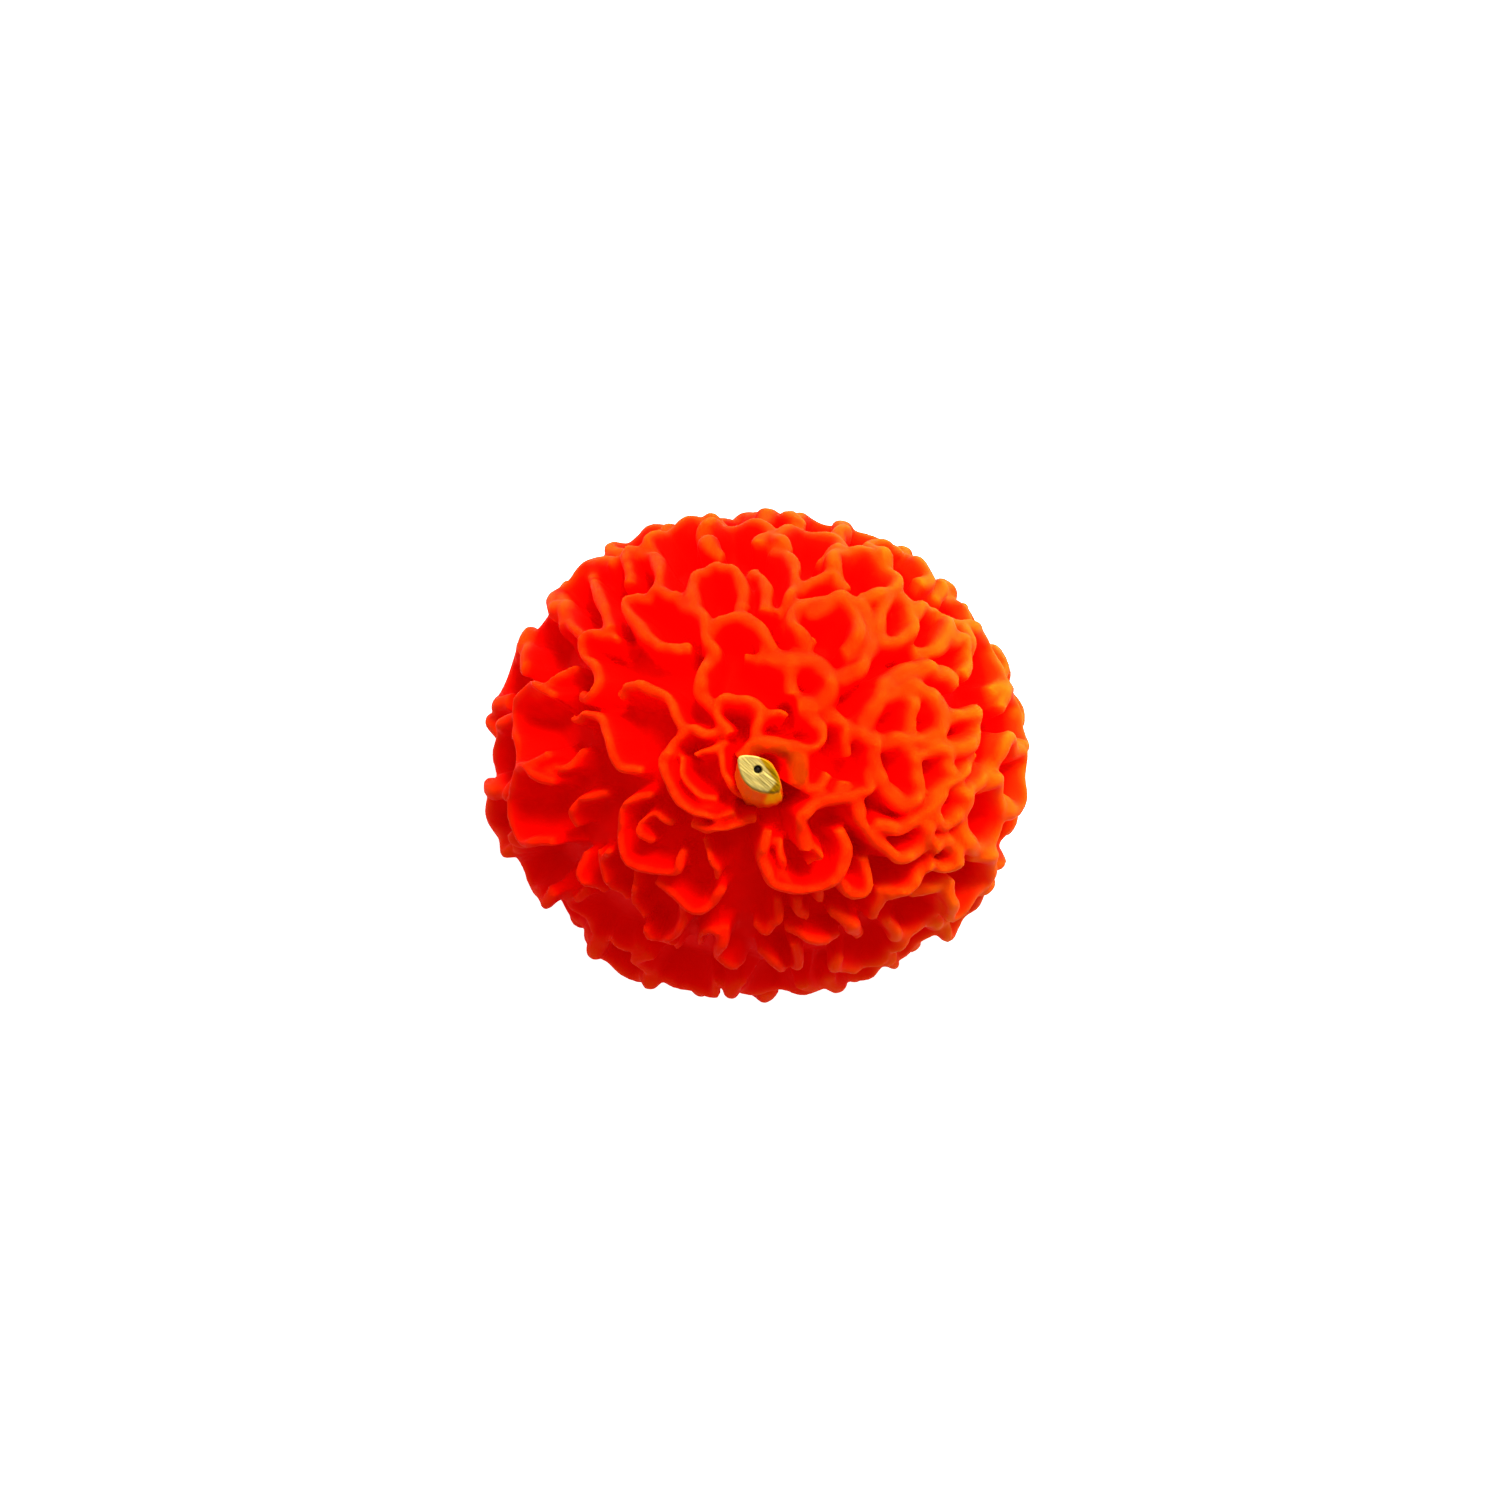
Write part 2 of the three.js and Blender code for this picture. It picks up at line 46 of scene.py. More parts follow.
# The dome and its base, and what the walls on it share, as in the CAD model
bloom = {
    "coreRadii": Vector((21.2, 19.1, 17.6)),  # half axes of the dome under the petals
    "coreMiddle": 7.2,  # height of its widest level
    "crownDrift": Vector((1.2, -2.2)),  # how far the crown stands off the outline's centre
    "baseRadius": 20.4,
    "baseRound": 1.0,
    "dimpleRadius": 6.5,
    "dimpleDepth": 0.5,
    "petalReach": 4.8,  # from the dome to a petal's rim
    "petalRoot": 1.6,  # how deep its foot sits in the dome
    "rimSpread": 1.22,  # the shell that the rims lie on is this many times the dome
    "seed": 3,
    "fineSeed": 31,
}
coreTop = bloom["coreMiddle"] + bloom["coreRadii"].z

# Folds round the crown, each a width and a line of points in mm from the crown, to the right and up,
# on the flat map of the shell that the rims lie on
crownFolds = [
    # left of the wick
    (1.0, ((-4.2, 6.4), (-5.6, 6.3), (-7.2, 6.5), (-8.9, 5.4), (-9.8, 3.4), (-9.3, 1.2), (-7.8, -0.5),
           (-5.6, -1.2), (-3.4, -0.9))),
    (0.9, ((-7.6, -2.2), (-5.5, -2.5), (-3.3, -1.9), (-1.4, -1.6))),
    # above it
    (1.0, ((-4.0, 6.2), (-5.0, 8.2), (-3.8, 9.2), (-2.2, 9.2), (-1.1, 8.4), (-1.3, 6.8),
           (-1.3, 5.4))),
    (1.1, ((3.4, 8.6), (4.0, 7.6), (4.5, 6.6), (4.3, 5.5), (3.4, 4.9), (1.8, 5.2), (0.2, 5.7),
           (-1.2, 5.6), (-2.2, 5.0))),
    (2.0, ((2.4, 8.7), (4.3, 8.8), (5.4, 9.9), (5.4, 11.2), (4.3, 12.3), (2.4, 12.4), (0.6, 12.6),
           (-0.8, 13.2))),
    (1.0, ((1.9, 12.4), (1.8, 10.8), (1.8, 9.6))),
    (1.2, ((-5.5, 14.6), (-4.2, 15.7), (-2.6, 15.9), (-1.2, 15.3), (-0.2, 14.1), (0.8, 12.8))),
    (1.2, ((-8.4, 17.8), (-7.2, 16.9), (-5.9, 15.6), (-5.6, 14.0), (-5.1, 13.0), (-5.9, 12.0),
           (-6.2, 10.8), (-6.4, 9.7), (-5.2, 8.5))),
    (1.8, ((2.1, 15.3), (2.9, 16.4), (4.5, 16.8), (6.2, 17.2), (7.8, 17.2), (9.0, 16.2), (9.5, 14.5),
           (9.1, 12.8), (7.9, 11.5), (6.2, 10.9))),
    # right of it
    (1.2, ((5.6, 8.0), (6.6, 7.0), (7.9, 6.2), (9.2, 5.3), (9.4, 4.0), (9.5, 2.8), (9.1, 1.7),
           (8.1, 0.8), (6.8, 0.4), (4.6, 0.1), (3.3, -0.4), (2.6, -1.2), (2.8, -2.6), (3.1, -4.2))),
    (1.0, ((6.9, 6.6), (7.1, 5.3), (7.3, 4.1))),
    (1.2, ((6.2, 0.5), (7.0, 1.9))),
    (1.0, ((3.2, 1.4), (4.6, 1.7), (5.4, 2.7))),
    (1.2, ((7.9, 0.4), (8.2, -1.5), (9.2, -3.1), (10.4, -4.5), (11.7, -5.5), (13.5, -5.4),
           (15.0, -4.6))),
    (1.2, ((9.6, -2.0), (10.8, -2.6), (12.2, -2.7), (13.6, -2.1), (14.8, -1.0), (16.4, 0.2))),
    (1.4, ((9.6, 2.9), (10.4, 1.4), (11.3, 0.2), (12.5, -0.5), (13.6, 0.2), (13.7, 1.8), (13.3, 3.4),
           (12.2, 4.9))),
    (1.9, ((8.6, 6.7), (9.5, 8.3), (10.8, 9.3), (12.8, 9.6), (14.8, 8.8), (16.0, 7.3), (16.2, 5.7))),
    (1.3, ((9.2, 5.5), (11.0, 5.3), (12.8, 5.3), (14.6, 5.0), (16.2, 5.5))),
    (1.2, ((12.8, 9.2), (13.1, 7.6), (12.9, 5.8))),
    (1.6, ((10.2, 9.6), (12.0, 10.8), (14.0, 11.2), (16.2, 10.5), (18.2, 9.6))),
    # below it
    (1.2, ((-0.3, -2.6), (-0.8, -4.4), (-0.5, -6.2), (0.4, -7.7), (2.0, -8.4), (3.9, -8.3),
           (5.7, -7.6), (6.8, -6.0), (7.1, -4.4), (6.4, -2.7))),
    (1.1, ((4.7, -8.6), (5.1, -10.5))),
    (1.0, ((6.6, -7.9), (7.8, -9.2), (8.9, -9.0), (9.4, -7.8), (9.2, -5.9))),
    (1.0, ((1.2, -10.5), (0.9, -12.3), (-0.1, -13.5), (-1.4, -13.3))),
    (1.0, ((2.7, -10.2), (3.1, -11.8), (4.1, -12.8))),
    (1.2, ((1.8, -14.2), (3.9, -14.3), (5.8, -15.1), (7.5, -15.4))),
    (1.4, ((6.3, -12.0), (7.9, -13.0), (8.9, -14.2), (9.6, -15.6))),
    (1.2, ((11.2, -9.2), (10.9, -11.2), (10.6, -13.2))),
    (1.2, ((-4.3, -13.4), (-4.6, -15.4), (-4.9, -17.2))),
    (0.9, ((-4.6, -13.8), (-6.4, -14.3), (-6.6, -16.4))),
    (1.0, ((-11.2, -9.0), (-10.2, -9.3), (-9.0, -10.4), (-7.6, -11.2), (-6.3, -11.2), (-5.4, -10.3),
           (-4.7, -9.0))),
    (1.0, ((-11.8, -14.2), (-11.4, -15.3), (-10.2, -15.6), (-9.0, -14.7), (-8.4, -13.0),
           (-8.6, -11.2))),
    # and out to the left
    (0.9, ((-11.8, 0.3), (-13.7, -0.9), (-14.5, -2.8), (-14.3, -4.9), (-13.4, -7.0), (-10.9, -7.6),
           (-9.0, -7.2), (-8.5, -5.4))),
    (1.0, ((-14.2, 9.0), (-13.2, 9.8), (-11.2, 9.8), (-9.6, 9.2), (-8.6, 8.0), (-8.2, 6.4))),
    (1.0, ((-18.6, 6.4), (-16.8, 7.0), (-15.5, 6.6), (-14.9, 5.2), (-14.5, 3.6), (-13.7, 2.6),
           (-12.3, 2.5))),
    (1.2, ((-7.3, 13.5), (-9.2, 13.4), (-10.9, 14.0), (-12.1, 15.1), (-12.8, 16.5), (-11.6, 17.4),
           (-9.9, 17.8), (-8.4, 17.8))),
    (1.2, ((-14.1, 13.8), (-15.6, 14.0), (-17.0, 13.2), (-17.1, 11.8), (-16.1, 11.0), (-15.6, 10.0),
           (-16.1, 9.0), (-17.0, 8.4), (-18.3, 8.5))),
    (0.9, ((-18.6, 3.8), (-19.2, 1.9), (-20.6, 1.5), (-22.2, 1.0))),
    (0.9, ((-16.2, -0.5), (-18.0, -0.9), (-19.1, -2.4), (-19.1, -4.4))),
    (0.9, ((-15.4, -5.8), (-16.3, -7.6), (-15.6, -9.6))),
    (0.9, ((-18.6, -7.2), (-18.0, -9.6), (-16.4, -11.6))),
    # the top edge
    (1.2, ((-6.8, 16.6), (-6.7, 18.6), (-5.0, 19.8), (-3.2, 19.6), (-2.1, 18.4), (-2.3, 16.8))),
    (1.2, ((-1.0, 20.2), (-0.1, 19.2), (0.0, 17.8), (-0.2, 16.4))),
    (1.3, ((0.9, 16.4), (2.2, 17.4), (2.9, 18.8), (2.6, 20.6), (1.2, 21.6))),
    (1.2, ((2.9, 18.3), (4.7, 18.9), (6.6, 18.9), (7.8, 18.0))),
    (1.2, ((-12.9, 18.4), (-12.4, 20.0), (-10.9, 20.6), (-9.7, 19.6), (-9.9, 18.0))),
    (1.2, ((-16.5, 18.2), (-15.4, 16.6), (-14.6, 14.4))),
    (1.2, ((-17.2, 13.3), (-18.4, 14.2), (-19.8, 14.8))),
    (1.0, ((-18.2, 10.9), (-19.4, 10.2), (-20.4, 8.9), (-21.9, 8.0))),
    # small round cups on the right
    (1.5, ((10.6, 14.2), (10.7, 16.2), (12.2, 17.1), (13.6, 16.1), (13.5, 14.4), (12.1, 13.6),
           (10.5, 13.9))),
    (1.5, ((13.7, 14.8), (14.9, 15.9), (16.7, 15.3), (17.2, 13.7), (16.0, 12.6), (14.2, 12.8))),
    (1.4, ((17.2, 13.4), (18.9, 12.6), (19.6, 11.2), (18.6, 10.0))),
    (1.4, ((16.2, 6.9), (18.2, 6.7), (20.4, 6.3))),
    (1.4, ((16.2, 4.9), (17.2, 3.9), (18.9, 4.0), (19.7, 5.2), (19.3, 6.4))),
    (1.4, ((13.4, 3.6), (15.2, 4.2), (16.7, 3.4), (16.7, 1.9), (17.8, 1.0))),
    (1.4, ((14.8, -0.8), (16.2, 0.7), (18.2, 1.6), (20.2, 3.0))),
    (1.4, ((15.4, -0.2), (15.2, -1.8), (16.5, -3.0), (18.1, -2.2), (18.4, -0.6), (17.2, 0.8))),
    (1.3, ((18.6, 0.0), (20.2, 0.2), (21.8, 1.4))),
    (1.2, ((13.9, -2.0), (14.6, -3.5), (14.6, -5.2))),
    (1.3, ((15.1, -5.0), (16.6, -4.7), (17.9, -5.8), (17.4, -7.3), (16.0, -7.5), (14.9, -6.6))),
    (1.3, ((11.4, -9.9), (13.2, -8.9), (14.9, -7.4))),
    # the bottom edge
    (1.2, ((-0.9, -17.0), (0.6, -17.5), (1.8, -18.8))),
    (1.1, ((2.5, -15.4), (3.4, -17.2), (2.9, -18.8))),
    (1.2, ((-4.9, -17.0), (-3.4, -18.1), (-2.2, -19.4))),
    (1.2, ((-9.3, -15.6), (-9.0, -17.6))),
]
# Low inner folds between them
faintFolds = [
    (0.7, ((-4.2, 5.7), (-5.6, 4.9), (-7.2, 4.3))),
    (0.6, ((-4.7, 4.8), (-4.7, 3.6), (-4.3, 2.4), (-3.5, 1.3), (-2.4, 0.5))),
    (0.6, ((-8.4, 4.2), (-8.3, 2.8), (-7.8, 1.5), (-6.7, 0.5), (-5.2, 0.2))),
    (0.8, ((-1.0, 8.2), (0.2, 8.3), (1.6, 8.1))),
    (0.8, ((-0.8, 13.0), (-2.4, 13.3))),
    (0.8, ((2.6, 12.8), (3.5, 13.9), (4.5, 14.8))),
    (2.0, ((-0.9, 13.3), (0.6, 13.1), (2.0, 12.7))),
    (0.7, ((0.9, -3.6), (0.9, -5.2), (1.4, -6.8))),
    (0.7, ((3.1, -4.0), (4.2, -4.5), (4.4, -5.5), (3.8, -6.6))),
    (0.8, ((-9.6, -2.7), (-10.6, -2.0), (-11.7, -1.9), (-12.5, -2.8), (-12.5, -4.0), (-11.7, -5.0))),
    (0.8, ((-6.6, -4.0), (-5.5, -6.0), (-5.0, -8.0))),
    (0.8, ((-16.9, -6.4), (-16.6, -8.4), (-15.4, -10.2), (-14.6, -12.4))),
    (0.8, ((-13.9, -8.4), (-13.2, -10.0), (-13.4, -11.8), (-12.2, -13.6))),
]
# Torn film of wax that the wick brought up with it: a band over its top and a lobe to the right
collarFolds = [
    (1.3, ((-2.9, 4.0), (-1.7, 5.0), (-0.2, 5.3), (1.3, 4.9), (2.3, 4.3))),
    (2.4, ((2.2, 4.8), (2.5, 3.6), (2.5, 2.4), (2.1, 1.6))),
]
foldShape = {
    "tipDrop": 0.045,  # a free end drops by this share of the dome
    "tipLength": 2.0,  # over its last millimetres
    "meet": 1.3,  # an end this near another fold runs into it, and hardly drops
    "meetDrop": 0.01,
    "root": 0.9,  # the feet are sunk to this share of the dome
    "faintDrop": 0.03,  # the faint folds lie this much lower, then the film, the thin and the near ones
    "filmDrop": -0.01,
    "thinDrop": 0.018,
    "nearDrop": 0.05,
    "fullRange": (-14, 12),  # they grow fuller from the lower left to the upper right
    "fullWidth": (0.8, 1.15),
    "fullFlare": (1, 0.7),
    "lowRange": (7, 12),  # and lie lower at the bottom and in its left corner
    "cornerRange": (5, 14),
    "sway": 0.07,
    "swaySpread": 0.4,
    "swayLength": 3.4,
    "lengthSpread": 0.2,
    "wave": 0.012,
    "waveTurns": 0.7,
    "roughScale": 0.9,
    "roughSway": 0.35,
    "roughRise": 0.022,
    "step": 0.4,
    "fewestSteps": 6,
    "clear": 0.56,  # petals keep clear of them by this share of their own spacing
}

# Past the folds petals fill the dome wherever there is room, smaller and rounder on one side
outerPetals = {
    "firstTilt": 35,
    "lastTilt": 101,
    "wide": 4.8,
    "narrow": 4.0,
    "fineBearing": 35,
    "fineRange": (-0.5, 0.6),
    "cup": 0.88,
    "cupSpread": 0.12,
    "mouthTurn": 25,
    "petalRange": 12,  # how far a petal looks for its neighbours
    "foldRange": 6,
    "tries": 6000,
}

# The form of those petals
petalForm = {
    "reachSpread": 0.13,
    "nearDrop": 0.3,  # they lie lower on the near side, short of the outline
    "nearSide": (0.2, 0.8),
    "nearTilts": (62, 78),
    "sweep": (122, 148),  # for the wide petals and for the small ones
    "sweepSpread": 16,
    "lean": (13, 8),  # a middle and a spread, as in the next two
    "curl": (0.1, 0.1),
    "waves": (2.2, 0.8),
    "waveDepth": (0.35, 0.2),  # for the wide petals and for the small ones
    "waveSpread": 0.15,
    "ruffleTilts": (35, 75),  # over these tilts the next two pairs run from one value to the other
    "ruffle": (0.12, 0.3),
    "ruffles": (3.0, 3.8),
    "ruffleSpread": 0.4,
    "rufflesSpread": 0.6,
    "notch": (0.35, 0.25),  # a middle and a spread
    "notchTilts": (62, 85),  # over these tilts the notches get wider, and deeper in small petals
    "notches": (4, 2.8),
    "fineNotch": 2,
    "notchDepth": (0.4, 0.5),  # the even share of a notch's depth and the share that swings
    "cupWidth": (0.68, 0.32),  # a cup's width at its foot, and what the way up adds
    "endFall": 0.12,  # a rim falls away towards both ends, and once more at the very end
    "tipFall": 0.2,
    "tipRange": (0.75, 1),
    "lip": 0.2,
    "lipRange": (0.8, 1.1),
}

# The walls, thicker where the petals are small, towards the outline and at the foot
wallShape = {
    "acrossSteps": 44,
    "upSteps": 14,
    "petalRim": 0.95,
    "fineWidth": (0.9, 1.75),
    "outerWidth": (0.9, 1.9),
    "outerTilts": (60, 80),
    "fineFlare": (1, 0.55),
    "evenShare": 0.95,
    "roundFrom": 0.88,
    "rounding": 0.8,
    "uneven": 0.6,
    "unevenScale": 0.45,
    "footFlare": 2.8,
    "footPower": 2.1,
    "most": 5.2,  # a wall's thickness is kept as a share of this
}

# How the walls and the dome become one skin
casting = {
    "voxel": 0.24,
    "smoothing": 6,
    "triangles": 195000,
    "baseCut": 0.05,
    "shrink": 0.998,
}

# What the colours read off that skin
waxMarks = {
    "softening": 10,
    "ridge": (-0.05, 0.35),
    "rimFade": (0.25, 1.5),
    # the rims' painted light, weaker on the shaded lower left and full towards the lamp
    "rimStrength": (0.6, 1),
    "litSideRange": (-17, 2),
    "filmFade": (0.7, 1.5),
    "filmLine": ((-1.2, 4.6), (0.6, 4.8), (2.1, 4.0), (2.6, 2.9)),
}


def drawsFrom(seed):
    # Park-Miller draws from -1 to 1: the same seed always gives the same bloom
    state = seed

    def draw():
        nonlocal state
        state = state * 48271 % 2147483647
        return 2 * state / 2147483647 - 1

    return draw


def about(middle, spread, draw):
    return middle + spread * draw()


def mix(a, b, share):
    return a + (b - a) * share


def smoothStep(low, high, x):
    t = min(1, max(0, (x - low) / (high - low)))
    return t * t * (3 - 2 * t)


def drift(point):
    # the crown stands off the outline's centre
    share = max(0, (point.z - bloom["coreMiddle"]) / bloom["coreRadii"].z)
    return Vector((
        point.x + bloom["crownDrift"].x * share,
        point.y + bloom["crownDrift"].y * share,
        point.z,
    ))


def directionAt(tilt, bearing):
    t = math.radians(tilt)
    b = math.radians(bearing)
    return Vector((math.sin(t) * math.cos(b), math.sin(t) * math.sin(b), math.cos(t)))


def domePoint(outward):
    return drift(outward * bloom["coreRadii"] + Vector((0, 0, bloom["coreMiddle"])))


def mapPoint(x, y, level):
    # from the flat map to the shell that is level times the size of the dome
    spread = bloom["rimSpread"]
    u = x / (bloom["coreRadii"].x * spread)
    v = y / (bloom["coreRadii"].y * spread)
    return domePoint(Vector((u, v, math.sqrt(max(0, 1 - u * u - v * v)))) * level)


def petalPlaces(draw):
    first = math.cos(math.radians(outerPetals["firstTilt"]))
    last = math.cos(math.radians(outerPetals["lastTilt"]))
    taken = [mapPoint(x, y, 1) for width, points in crownFolds for x, y in points]
    places = []
    for i in range(outerPetals["tries"]):
        level = (first + last + (first - last) * draw()) / 2
        tilt = math.degrees(math.acos(level))
        bearing = 180 * draw()
        root = domePoint(directionAt(tilt, bearing))
        toFine = math.cos(math.radians(bearing - outerPetals["fineBearing"]))
        toFine *= math.sin(math.radians(tilt))
        fineness = smoothStep(*outerPetals["fineRange"], toFine)
        spacing = mix(outerPetals["wide"], outerPetals["narrow"], fineness)
        if any((other["root"] - root).length < spacing for other in places):
            continue
        if any((other - root).length < foldShape["clear"] * spacing for other in taken):
            continue
        places.append({
            "tilt": tilt,
            "bearing": bearing,
            "root": root,
            "fineness": fineness,
            "cup": outerPetals["cup"] * spacing * about(1, outerPetals["cupSpread"], draw),
            "mouth": outerPetals["mouthTurn"] * draw(),
        })
    return places, taken


def curvePoint(points, t):
    # a smooth line through the points
    i = min(int(t), len(points) - 2)
    f = t - i
    b, c = Vector(points[i]), Vector(points[i + 1])
    a = Vector(points[i - 1]) if i > 0 else 2 * b - c
    d = Vector(points[i + 2]) if i + 2 < len(points) else 2 * c - b
    point = 2 * b + (c - a) * f
    point += (2 * a - 5 * b + 4 * c - d) * f ** 2
    point += (3 * b - a - 3 * c + d) * f ** 3
    return 0.5 * point


def meets(point, own):
    # whether the end of a fold lies on another fold
    perSpan = 4
    for width, points in crownFolds + faintFolds + collarFolds:
        if points is own:
            continue
        for i in range(perSpan * (len(points) - 1) + 1):
            if (curvePoint(points, i / perSpan) - Vector(point)).length < foldShape["meet"]:
                return True
    return False


def foldSurface(points, length, drop, fine):
    phase = math.pi * fine()
    sway = foldShape["sway"] * about(1, foldShape["swaySpread"], fine)
    turns = 2 * math.pi * length / (foldShape["swayLength"] * about(1, foldShape["lengthSpread"], fine))
    ends = (points[0], points[-1])
    drops = [foldShape["meetDrop" if meets(end, points) else "tipDrop"] for end in ends]

    def surface(across, up):
        share = (across + 1) / 2
        t = share * (len(points) - 1)
        at = curvePoint(points, t)
        ahead = curvePoint(points, min(t + 0.05, len(points) - 1))
        behind = curvePoint(points, max(t - 0.05, 0))
        along = (ahead - behind).normalized()
        scale = foldShape["roughScale"]
        rough = noise.noise(Vector((at.x * scale, at.y * scale, phase)))
        aside = sway * up * math.sin(turns * share + phase) + foldShape["roughSway"] * rough * up
        at += Vector((-along.y, along.x)) * aside
        top = bloom["rimSpread"] - drop
        for fall, run in zip(drops, (share, 1 - share)):
            top -= fall * (1 - smoothStep(0, foldShape["tipLength"], run * length))
        wave = math.sin(foldShape["waveTurns"] * turns * share - phase)
        top += foldShape["wave"] * wave + foldShape["roughRise"] * rough
        return mapPoint(at.x, at.y, mix(foldShape["root"], top, up))

    return surface


def petalShape(place, draw, fine):
    # the draws are made in the order of these lines
    tilt = place["tilt"]
    fineness = place["fineness"]
    near = smoothStep(*petalForm["nearSide"], -math.sin(math.radians(place["bearing"])))
    lower = 1 - petalForm["nearDrop"] * near * (1 - smoothStep(*petalForm["nearTilts"], tilt))
    ruffled = smoothStep(*petalForm["ruffleTilts"], tilt)
    notched = smoothStep(*petalForm["notchTilts"], tilt)
    deeper = mix(1, mix(1, petalForm["fineNotch"], fineness), notched)
    return {
        **place,
        "reach": bloom["petalReach"] * about(1, petalForm["reachSpread"], draw) * lower,
        "sweep": about(mix(*petalForm["sweep"], fineness), petalForm["sweepSpread"], draw),
        "lean": about(*petalForm["lean"], draw),
        "curl": about(*petalForm["curl"], draw),
        "waves": about(*petalForm["waves"], draw),
        "waveDepth": about(mix(*petalForm["waveDepth"], fineness), petalForm["waveSpread"], draw),
        "wavePhase": math.pi * draw(),
        "ruffle": mix(*petalForm["ruffle"], ruffled) * about(1, petalForm["ruffleSpread"], fine),
        "ruffles": about(mix(*petalForm["ruffles"], ruffled), petalForm["rufflesSpread"], fine),
        "rufflePhase": math.pi * fine(),
        "notch": about(*petalForm["notch"], fine) * deeper,
        "notches": mix(*petalForm["notches"], notched),
        "notchPhase": math.pi * fine(),
    }


def cellRadius(neighbours, turn, largest):
    # how far a petal may reach before it meets its neighbours
    sharpness = 8
    total = largest ** -sharpness
    for x, y in neighbours:
        facing = x * math.sin(turn) + y * math.cos(turn)
        if facing > 0:
            total += (2 * facing / (bloom["rimSpread"] * (x * x + y * y))) ** sharpness
    return total ** (-1 / sharpness)


def petalSurface(shape, places, taken):
    root = shape["root"]
    outward = directionAt(shape["tilt"], shape["bearing"])
    radii = bloom["coreRadii"]
    normal = Vector((outward.x / radii.x, outward.y / radii.y, outward.z / radii.z)).normalized()
    side = Vector((-normal.y, normal.x, 0)).normalized()
    side.rotate(Quaternion(normal, math.radians(shape["mouth"])))
    axis = normal.copy()
    axis.rotate(Quaternion(side, math.radians(shape["lean"])))
    back = side.cross(axis)
    neighbours = []
    for other in places:
        away = other["root"] - root
        if 0 < away.length < outerPetals["petalRange"]:
            neighbours.append((away.dot(side), away.dot(back)))
    for fold in taken:
        away = fold - root
        if away.length < outerPetals["foldRange"]:
            # a petal may reach all the way to a fold
            neighbours.append((2 * away.dot(side), 2 * away.dot(back)))
    sweep = math.radians(shape["sweep"])
    footWidth, widening = petalForm["cupWidth"]
    evenNotch, swinging = petalForm["notchDepth"]

    def surface(across, up):
        turn = sweep * across
        wave = math.sin(shape["waves"] * math.pi * across + shape["wavePhase"])
        ruffle = math.sin(shape["ruffles"] * math.pi * across + shape["rufflePhase"])
        notch = math.sin(shape["notches"] * math.pi * across + shape["notchPhase"])
        # the cup widens upwards, curls in at its ends and turns out at the rim
        cup = cellRadius(neighbours, turn, shape["cup"])
        cup *= (footWidth + widening * up) * (1 - shape["curl"] * across * across * up)
        cup += shape["waveDepth"] * up * up * wave
        cup += shape["ruffle"] * up ** 1.5 * ruffle
        cup += petalForm["lip"] * smoothStep(*petalForm["lipRange"], up)
        # the rim falls away towards both ends
        tip = petalForm["tipFall"] * smoothStep(*petalForm["tipRange"], abs(across))
        height = shape["reach"] * (1 - petalForm["endFall"] * across * across - tip)
        height -= shape["notch"] * (evenNotch + swinging * notch)
        height = (height + bloom["petalRoot"]) * up - bloom["petalRoot"]
        return root + axis * height + side * (cup * math.sin(turn)) + back * (cup * math.cos(turn))

    return surface


def meshObject(name, bm):
    mesh = bpy.data.meshes.new(name)
    bm.to_mesh(mesh)
    bm.free()
    piece = bpy.data.objects.new(name, mesh)
    scene.collection.objects.link(piece)
    return piece


def modify(piece, *steps):
    # adds each modifier, then keeps the mesh that they give
    for kind, settings in steps:
        modifier = piece.modifiers.new(kind.lower(), kind)
        for key, value in settings.items():
            setattr(modifier, key, value)
    evaluated = piece.evaluated_get(bpy.context.evaluated_depsgraph_get())
    mesh = bpy.data.meshes.new_from_object(evaluated)
    piece.modifiers.clear()
    piece.data = mesh


def finished(piece, place=toMetres):
    piece.data.transform(place)
    piece.data.shade_smooth()
    print(piece.name, len(piece.data.polygons), "faces")
    return piece


def coreProfile():
    # from the middle of the dimple over the base and up the dome to the crown
    dimple = bloom["dimpleRadius"]
    base = bloom["baseRadius"]
    rounding = bloom["baseRound"]
    radii = bloom["coreRadii"]
    dimpleSteps, baseSteps, sideSteps, domeSteps = 8, 4, 6, 24
    profile = []
    for i in range(dimpleSteps + 1):
        depth = bloom["dimpleDepth"] * (0.5 + 0.5 * math.cos(math.pi * i / dimpleSteps))
        profile.append((dimple * i / dimpleSteps, depth))
    for i in range(1, baseSteps + 1):
        profile.append((mix(dimple, base, i / baseSteps), 0))
    profile.append((base + 0.7 * rounding, 0.3 * rounding))
    for i in range(sideSteps + 1):
        share = i / sideSteps
        profile.append((mix(base + rounding, radii.x, share), mix(rounding, bloom["coreMiddle"], share)))
    for i in range(1, domeSteps + 1):
        outward = directionAt(90 * (1 - i / domeSteps), 0)
        profile.append((outward.x * radii.x, bloom["coreMiddle"] + outward.z * radii.z))
    return profile


def coreMesh():
    # the profile spun round, narrowed and set over to one side
    bm = bmesh.new()
    verts = [bm.verts.new((x, 0, z)) for x, z in coreProfile()]
    edges = [bm.edges.new(pair) for pair in zip(verts, verts[1:])]
    bmesh.ops.spin(bm, geom=verts + edges, axis=(0, 0, 1), cent=(0, 0, 0),
        steps=96, angle=2 * math.pi, use_merge=True)
    bmesh.ops.remove_doubles(bm, verts=bm.verts, dist=0.001)
    bmesh.ops.recalc_face_normals(bm, faces=bm.faces)
    for vert in bm.verts:
        vert.co.y *= bloom["coreRadii"].y / bloom["coreRadii"].x
        vert.co = drift(vert.co)
    return bm


